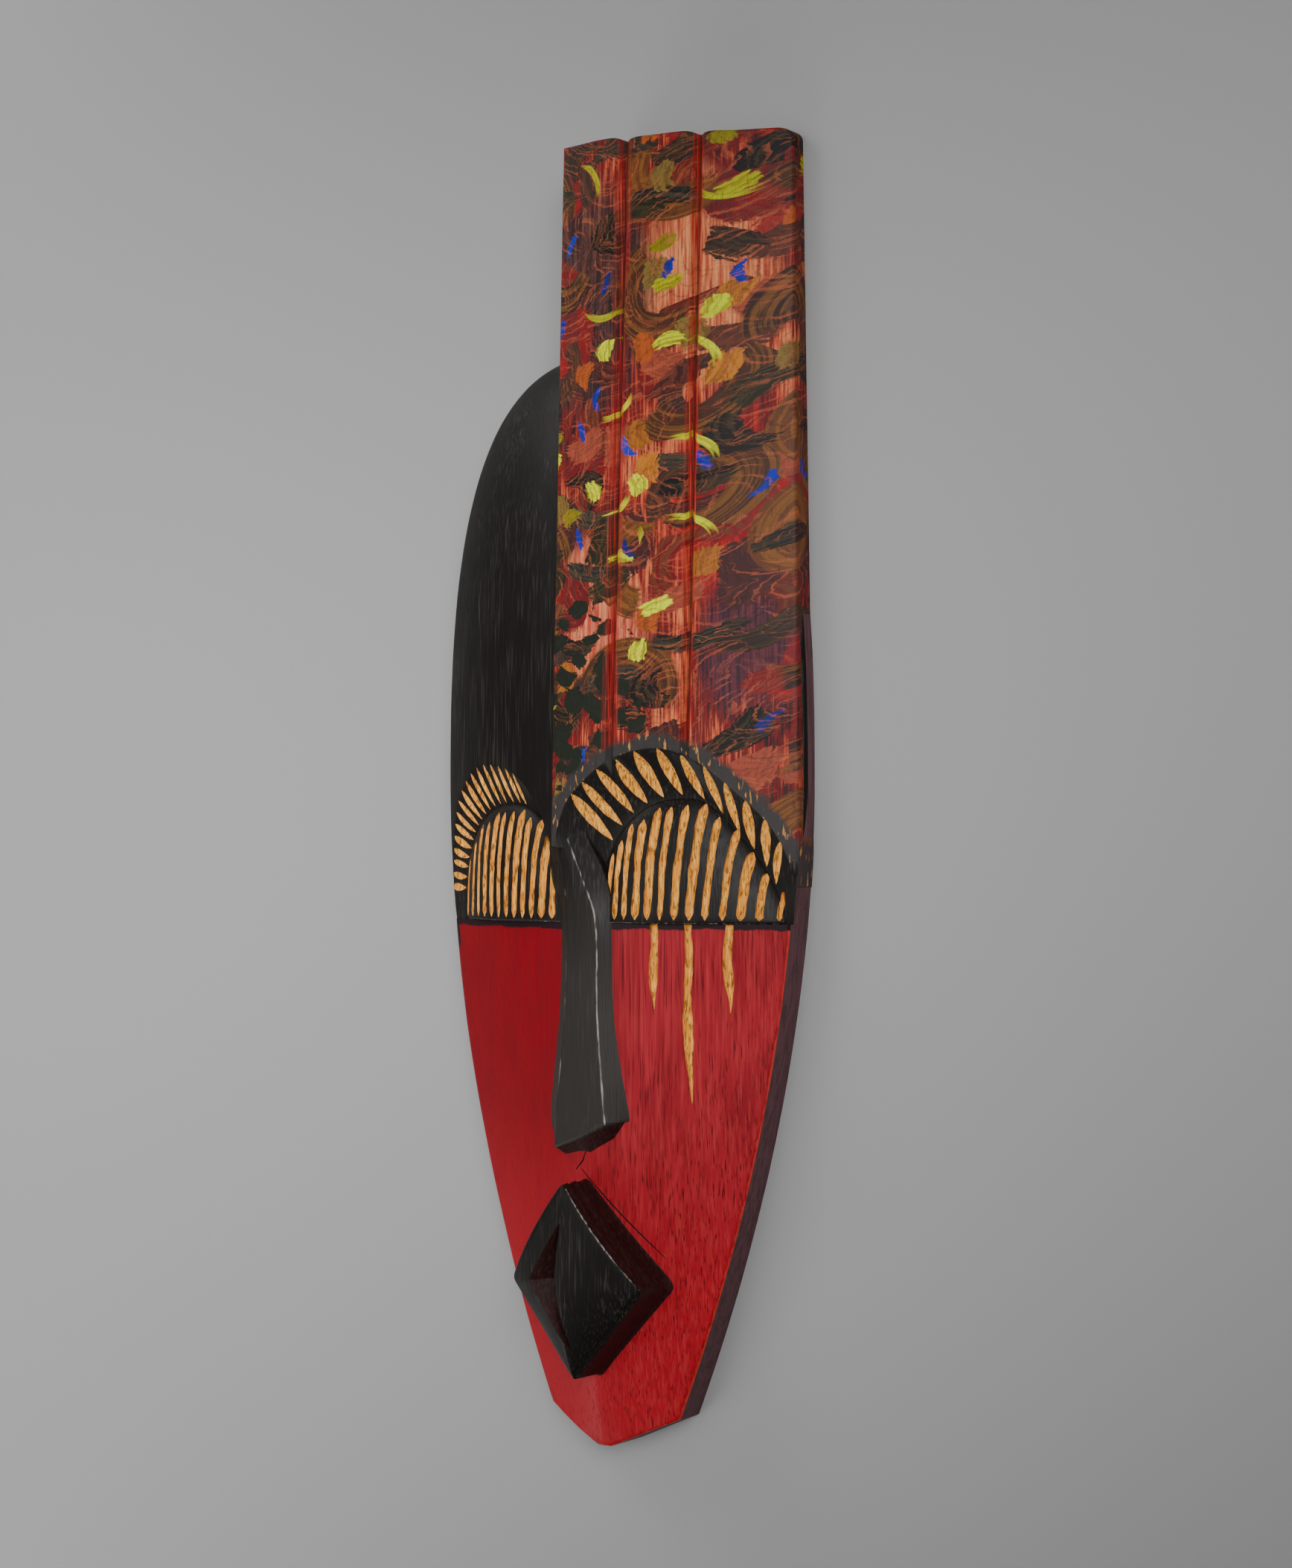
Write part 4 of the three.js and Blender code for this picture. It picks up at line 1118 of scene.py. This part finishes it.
def panel_paint():
    """Loose daubs of acrylic over the raised panel, streaked by the bristles and by the grain below."""
    finish, tree = new_finish("Brushed acrylic on wood")
    trees = {"Brush dabs": brush_dab_tree(), "Curved strokes": curved_stroke_tree()}
    strokes = lambda kind, inputs: add(tree, "Group", inputs, node_tree=trees[kind]).node.outputs
    across, up, _ = add(tree, "SeparateXYZ", millimetres(tree)).node.outputs
    bristles = streaks(tree, 1.1, 22, 0.3, 0.7)
    patches = patchy(tree, 22, 40, 6.0)
    ground = add(tree, "Math", bristles, 0.26, patches, operation="MULTIPLY_ADD")
    colour = add(tree, "ValToRGB", ground, stops=GROUND_STOPS)
    relief = bristles
    for centre, reach, dark, light in PAINT_ZONES:
        apart = add(tree, "VectorMath", millimetres(tree), centre, operation="SUBTRACT")
        apart = add(tree, "VectorMath", apart, (1, 0.6, 0), operation="MULTIPLY")
        apart = add(tree, "VectorMath", apart, operation="LENGTH").node.outputs["Value"]
        apart = add(tree, "Math", patches, 24.0, apart, operation="MULTIPLY_ADD")
        inside = add(tree, "MapRange", apart, reach + 14.0, reach + 4.0, 0.0, 0.9)
        colour = coat(tree, colour, coat(tree, dark, light, bristles), inside)
    for kind, inputs, colours, thin in PAINT_LAYERS:
        mask, pick, streak = strokes(kind, inputs)
        stops = [(k / len(colours), hex_colour) for k, hex_colour in enumerate(colours)]
        body = add(tree, "ValToRGB", pick, stops=stops, constant=True)
        body = coat(tree, body, thin, add(tree, "MapRange", streak, 0.46, 0.56, 0.0, 0.55))
        colour = coat(tree, colour, body, mask)
        relief = coat(tree, relief, streak, mask)
    for cell, seed, marks in ((16, 5.3, "#1c1010"), (13, 17.9, "#c4603c")):
        _, _, streak = strokes("Brush dabs", {"Cell": cell, "Length": 1.4, "Width": 1.4, "Turn": 3.1,
                                              "Bend": 0.5, "Seed": seed, "Amount": 1.0})
        colour = coat(tree, colour, marks, add(tree, "MapRange", streak, 0.54, 0.68, 0.0, 0.4))
    apart = add(tree, "VectorMath", millimetres(tree), CLUSTER_PLACE, operation="DISTANCE")
    crowd = add(tree, "MapRange", apart.node.outputs["Value"], 14.0, 46.0, 0.85, 0.0)
    for cell, seed in ((12, 81.0), (8.5, 93.0)):
        mask, _, streak = strokes("Brush dabs", {"Cell": cell, "Length": 0.42, "Width": 0.34, "Turn": 3.1,
                                                 "Bend": 0.3, "Seed": seed, "Amount": crowd})
        colour = coat(tree, colour, coat(tree, "#0a100a", "#242a1c", streak), mask)
    broken = add(tree, "MapRange", patchy(tree, 9, 26, 31.0), 0.38, 0.56, 0.35, 1.0)
    low_x, _ = panel_edges(0.0)
    high_x, _ = panel_edges(float(CREST_Y))
    for number, reach in ((1, 4.5), (2, 3.2)):
        slant = (high_x[number] - low_x[number]) / CREST_Y
        start = low_x[number] - OUTLINE_SHIFT + slant * MIDDLE_Y
        off = add(tree, "Math", up, -slant, across, operation="MULTIPLY_ADD")
        off = add(tree, "Math", off, float(start), operation="SUBTRACT")
        off = add(tree, "Math", off, operation="ABSOLUTE")
        near = add(tree, "MapRange", off, 0.3 * reach, reach, 1.0, 0.0)
        strand = streaks(tree, 0.9, 60, 0.35, 0.6, shift=13.0 + number)
        pink = streaks(tree, 0.5, 35, 0.5, 0.7, shift=17.0 + number)
        colour = coat(tree, colour, coat(tree, "#9c0a12", "#d05a40", pink), near, strand, broken)
        # Painted shade: a dark line down the bottom of each groove
        colour = coat(tree, colour, "#3a1a1c", add(tree, "MapRange", off, 0.25, 0.75, 0.6, 0.0))
    wave = patchy(tree, 9, 9, 8.0, 4.0)
    border = add(tree, "MapRange", ragged_distance(tree, "arch", wave, 9.0), 11.5, 9.0)
    fleck = streaks(tree, 1.6, 7, 0.6, 0.66, shift=23.0)
    colour = coat(tree, colour, coat(tree, "#33302f", "#b07a3c", fleck), border)
    # Painted shade: the paint darkens towards the panel's right edge and its crest
    shaded = add(tree, "MapRange", ragged_distance(tree, "panel_rim", wave, 9.0), 7.0, 4.0, 0.0, 0.3)
    colour = coat(tree, colour, coat(tree, "#3a2f38", "#5c3438", bristles), shaded)
    colour = coat(tree, colour, "#2a1a1a", streaks(tree, 0.45, 9, 0.6, 0.7, shift=29.0), 0.5)
    surface(tree, colour, 0.5, relief, 0.12, Specular_IOR_Level=0.14)
    return finish


# Guides that the finishes read: distances in millimetres, up to where they no longer matter
GUIDE_FAR = 30
BORDER_FAR = 60


def distance_to(points, line):
    """Least distance from each point to a line of points."""
    nearest = np.full(len(points), 1e6)
    for a, b in zip(line[:-1], line[1:]):
        along = b - a
        share = np.clip(((points - a) @ along) / (along @ along), 0, 1)
        nearest = np.minimum(nearest, np.linalg.norm(points - a - share[:, None] * along, axis=1))
    return nearest


def worn_lines():
    """Ridges rubbed bare by hands and cloths, each with a factor that is larger where less shows."""
    _, sections = nose_sections()
    ridge = np.array([(0, MOUTH["top"]), (MOUTH["side"], MOUTH["middle"]), (0, MOUTH["bottom"])], float)
    upper = np.array([lerp(ridge[0], ridge[1], t) for t in np.linspace(0.06, 1, 14)])
    lower = np.array([lerp(ridge[1], ridge[2], t) for t in np.linspace(0, 0.5, 8)])
    lift = lambda line: np.column_stack([line, mouth_height(*line.T) - 0.3])
    lines = [(sections[:-8, 3], 1.0), (sections[2:-24, 1], 1.8), (lift(upper), 1.0), (lift(lower), 2.2)]
    for lid in (RIGHT_LID, LEFT_LID):
        x = lid["x"] + lid["half_width"] * np.linspace(-0.96, 0.96, 30)
        y = np.full_like(x, LID_LINE_Y)
        lines.append((np.column_stack([x, y + 0.3, lid_height(lid, x, y) - 0.5]), 1.9))
    return lines


def add_guide(mesh, name, values):
    """Stores one value at each vertex for the finishes to read."""
    guide = mesh.attributes.new(name, "FLOAT", "POINT")
    guide.data.foreach_set("value", np.asarray(values, np.float32))


def add_guides(mesh):
    """Stores, in millimetres, how far each vertex is from the worn ridges, from the painted borders, and
    from the panel's edges, where painted shade is laid.
    """
    flat = np.empty(len(mesh.vertices) * 3)
    mesh.vertices.foreach_get("co", flat)
    points = unplace(flat.reshape(-1, 3))
    worn = np.full(len(points), GUIDE_FAR, float)
    for line, dulling in worn_lines():
        worn = np.minimum(worn, distance_to(points, line) * dulling)
    add_guide(mesh, "worn", worn)
    x, y = points[:, 0], points[:, 1]
    slope = half_width(y + 0.5) - half_width(y - 0.5)
    rim = (half_width(y) - np.abs(x - OUTLINE_SHIFT)) / np.hypot(1, slope)
    add_guide(mesh, "rim", np.clip(rim, 0, GUIDE_FAR))
    arch = np.stack(arch_points(RIGHT_ARCH, np.linspace(0, 1, 80)), -1)
    add_guide(mesh, "arch", np.minimum(distance_to(points[:, :2], arch), BORDER_FAR))
    edges, _ = panel_edges(y)
    add_guide(mesh, "panel_rim", np.clip(np.minimum(edges[3] - x, (CREST_Y - y) * 1.4), 0, BORDER_FAR))


# What a user may change

def size_property(label, meaning, default, low, high, unit="LENGTH"):
    """Size in millimetres, or a plain share where the unit is NONE."""
    scale = MM if unit == "LENGTH" else 1
    return bpy.props.FloatProperty(name=label, description=meaning, default=default * scale, min=low * scale,
                                   max=high * scale, unit=unit)


def colour_property(label, meaning, hex_colour):
    """Colour that starts as an sRGB hex value."""
    return bpy.props.FloatVectorProperty(name=label, description=meaning, subtype="COLOR", size=4,
                                         min=0, max=1, default=linear(hex_colour))


class MaskSizes(bpy.types.PropertyGroup):
    """Sizes of the cuts, and how steady the hand is that makes them"""
    leaf_width: size_property("Leaf width", "Widest part of a leaf cut in the right brow", 5.1, 2, 12)
    leaf_depth: size_property("Leaf depth share", "Depth of a leaf cut as a share of its width",
                              0.34, 0.1, 0.8, "NONE")
    groove_width: size_property("Groove width", "Width of the lid grooves and of the tears", 4.6, 1, 6)
    groove_depth: size_property("Groove depth share", "Depth of a groove as a share of its width",
                                0.5, 0.1, 1, "NONE")
    wander: size_property("Wander", "How far a hand-made cut strays from its line", 1.5, 0, 4)
    unsteadiness: size_property("Unsteadiness", "How much a cut's width changes along it", 0.8, 0, 2, "NONE")
    line_width: size_property("Line width", "Width of the crack and of the carver's guide line", 0.7, 0.2, 2)


class MaskColours(bpy.types.PropertyGroup):
    """Colours of the stains and of the raw wood"""
    ebony: colour_property("Ebonised wood", "Black of the forehead, lids, nose and mouth", "#14110f")
    # Painted sheen: this greyer black of the nose stands for light caught by its wax
    ebony_painted_sheen: colour_property("Handled ebony", "Greyer black of the nose, dulled by hands", "#2c2825")
    ebony_fibre: colour_property("Black fibres", "Grey of the fibres that show through the black", "#3c3834")
    ebony_worn: colour_property("Worn black", "Where ridges are rubbed bare", "#a39b92")
    crimson_deep: colour_property("Deep crimson", "Red of the left half of the face", "#7e0513")
    # Painted sheen: this lighter red of the right half stands for light glancing off the stain
    crimson_painted_sheen: colour_property("Thin crimson", "Red of the right half of the face", "#961a26")
    wood_light: colour_property("Light raw wood", "Lightest fibres in the gouge cuts", "#ffbc54")
    wood_mid: colour_property("Golden raw wood", "Main colour of the gouge cuts", "#de9034")
    wood_dark: colour_property("Torn raw wood", "Dark torn fibres in the gouge cuts", "#6e4014")


# Operators

class MASK_OT_carve(bpy.types.Operator):
    """Carve the mask from its body, panel, brows, lids, nose and mouth, and gouge the cuts"""
    bl_idname = "mask.carve"
    bl_label = "Carve mask"

    def execute(self, context):
        sizes = context.scene.mask_sizes
        black = ebonised_wood("Ebonised waxed wood", 0.0)
        # The nose's black carries a painted sheen: greyer low down
        nose_sheen = ebonised_wood("Ebonised wood with painted sheen", 1.0)
        red = crimson_stain()
        raw = raw_wood()
        walnut = walnut_wall()
        bare = hollow_wood()
        mask = body_solid(black, red, side_wood())
        combine(mask, [panel_solid(panel_paint())], "UNION")
        eyes = ((RIGHT_LID, RIGHT_ARCH, panel_height, RIGHT_LEAVES, RIGHT_GROOVES),
                (LEFT_LID, LEFT_ARCH, face_height, LEFT_LEAVES, LEFT_GROOVES))
        combine(mask, [brow_cutter(lid, arch, form, black) for lid, arch, form, *_ in eyes], "DIFFERENCE")
        combine(mask, [lid_solid(lid, black) for lid, *_ in eyes], "UNION")
        cuts = []
        hand = {"wander": LEAF_WANDER * sizes.wander, "unsteadiness": LEAF_UNSTEADINESS * sizes.unsteadiness}
        for lid, arch, form, leaves, _ in eyes:
            lines = leaf_lines(lid, arch, form, leaves)
            # Every other leaf goes into one cutter, so that the parts of a cutter stay clear of each other
            for start in (0, 1):
                cuts.append(gouge_cutters("leaves", lines[start::2], raw, depth_share=sizes.leaf_depth,
                                          keel_shift=leaves["keel"], seed=float(start), **hand))
        hand = {"wander": sizes.wander, "unsteadiness": sizes.unsteadiness}
        for lid, *_, grooves in eyes:
            cuts.append(gouge_cutters("grooves", groove_lines(lid, grooves), raw, seed=2.0,
                                      depth_share=sizes.groove_depth, **hand))
        combine(mask, cuts, "DIFFERENCE")
        combine(mask, [nose_solid(nose_sheen, walnut), mouth_solid(black, walnut)], "UNION")
        crack, guide = (surface_line(points, sizes.line_width / MM) for points in (CRACK, GUIDE_LINE))
        cuts = [hollow_solid(bare), panel_hollow_solid(bare), hole_cutter(walnut),
                gouge_cutters("tears", tear_lines(), raw, seed=5.0, depth_share=TEAR_DEPTH, **hand),
                gouge_cutters("lines", [crack, guide], walnut, seed=7.0, depth_share=LINE_DEPTH,
                              step=LINE_STEP)]
        combine(mask, cuts, "DIFFERENCE")
        mask.name = "painted_mask"
        mask.data.name = "painted_mask"
        add_guides(mask.data)
        mask.data.polygons.foreach_set("use_smooth", [True] * len(mask.data.polygons))
        mask.data.set_sharp_from_angle(angle=SHARP_ANGLE)
        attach(mask, "root")
        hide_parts(NODE)
        return {"FINISHED"}


# Camera: it stands right of the mask and looks a little up, as in the photograph; lengths in millimetres
CAMERA_AZIMUTH = math.radians(35.5)
CAMERA_PITCH = math.radians(1.4)
CAMERA_DISTANCE = 1219
CAMERA_TARGET = (0, 0, -5.5)
CAMERA_LENS = 61.55
SENSOR = 36

# Floor, in metres, and the light of the air and the sky
FLOOR_SIZE = 16.0
FLOOR_GAP = 0.1 * MM
AIR_STRENGTH = 0.13
SKY_POWER = 0.6
SKY_ANGLE = math.radians(100)

# Soft lights: name, place, target, width and height in metres, then watts and the spread in degrees
LIGHTS = (
    ("left_corner", (-0.72, -0.7, 0.5), (-0.45, -0.2, 0.0), 0.6, 0.6, 2.9, 130),
    ("left_corner", (-0.72, 0.7, 0.5), (-0.45, 0.2, 0.0), 0.6, 0.6, 2.9, 130),
    ("left_floor", (-0.7, 0.0, 1.0), (-0.68, 0.0, 0.0), 0.3, 1.4, 0.7, 50),
    ("overhead", (-0.9, 0.15, 1.3), (-0.2, 0.0, 0.0), 1.0, 1.2, 0.6, 120),
    ("key", (0.85, 0.3, 1.1), (0.0, 0.0, 0.0), 0.6, 0.9, 1.8, 46),
)


def soft_light(name, place_m, target_m, width, height, power, spread):
    """Rectangular light that faces its target."""
    data = bpy.data.lights.new(name, "AREA")
    data.shape = "RECTANGLE"
    data.size = width
    data.size_y = height
    data.energy = power
    data.spread = math.radians(spread)
    light = add_object(name, data)
    light.location = place_m
    light.rotation_euler = (Vector(target_m) - Vector(place_m)).to_track_quat("-Z", "Y").to_euler()


class MASK_OT_stage(bpy.types.Operator):
    """Set up the pale floor, the soft lights and the camera"""
    bl_idname = "mask.stage"
    bl_label = "Set up studio"

    def execute(self, context):
        finish, tree = new_finish("Pale floor")
        surface(tree, linear("#989898"), 0.9, 0.0, 0.0)
        half = FLOOR_SIZE / 2
        mesh = bpy.data.meshes.new("studio_floor")
        corners = ((-half, -half), (half, -half), (half, half), (-half, half))
        mesh.from_pydata([(x, y, -FLOOR_GAP) for x, y in corners], [], [(0, 1, 2, 3)])
        mesh.materials.append(finish)
        add_object("studio_floor", mesh)
        for light in LIGHTS:
            soft_light(*light)
        data = bpy.data.lights.new("sky", "SUN")
        data.energy = SKY_POWER
        data.angle = SKY_ANGLE
        add_object("sky", data)
        world = bpy.data.worlds.new("Studio air")
        world.use_nodes = True
        world.node_tree.nodes["Background"].inputs[0].default_value = linear("#c4c4c4")
        world.node_tree.nodes["Background"].inputs[1].default_value = AIR_STRENGTH
        context.scene.world = world
        data = bpy.data.cameras.new("photo_camera")
        data.sensor_fit = "VERTICAL"
        data.sensor_height = SENSOR
        data.lens = CAMERA_LENS
        camera = add_object("photo_camera", data)
        look = Vector((-math.sin(CAMERA_AZIMUTH) * math.cos(CAMERA_PITCH), math.sin(CAMERA_PITCH),
                       -math.cos(CAMERA_AZIMUTH) * math.cos(CAMERA_PITCH)))
        right = Vector((math.cos(CAMERA_AZIMUTH), 0, -math.sin(CAMERA_AZIMUTH)))
        turn = Matrix((right, right.cross(look), -look)).transposed()
        target = Vector(place(CAMERA_TARGET))
        camera.matrix_world = Matrix.Translation(target - look * CAMERA_DISTANCE * MM) @ turn.to_4x4()
        context.scene.camera = camera
        return {"FINISHED"}


class MASK_PT_sidebar(bpy.types.Panel):
    """Sizes, colours and steps of the mask"""
    bl_idname = "MASK_PT_sidebar"
    bl_label = "Carved mask"
    bl_space_type = "VIEW_3D"
    bl_region_type = "UI"
    bl_category = "Mask"

    def draw(self, context):
        for group in (context.scene.mask_sizes, context.scene.mask_colours):
            column = self.layout.column()
            for name in group.__annotations__:
                column.prop(group, name)
        self.layout.operator(MASK_OT_carve.bl_idname)
        self.layout.operator(MASK_OT_stage.bl_idname)


CLASSES = (MaskSizes, MaskColours, MASK_OT_carve, MASK_OT_stage, MASK_PT_sidebar)


def register():
    """Registers the classes and gives the scene its sizes and colours."""
    for cls in CLASSES:
        bpy.utils.register_class(cls)
    bpy.types.Scene.mask_sizes = bpy.props.PointerProperty(type=MaskSizes)
    bpy.types.Scene.mask_colours = bpy.props.PointerProperty(type=MaskColours)


def unregister():
    """Takes away what register adds."""
    del bpy.types.Scene.mask_colours
    del bpy.types.Scene.mask_sizes
    for cls in reversed(CLASSES):
        bpy.utils.unregister_class(cls)


def main():
    register()
    bpy.ops.mask.carve()
    bpy.ops.mask.stage()


if __name__ == "__main__":
    main()
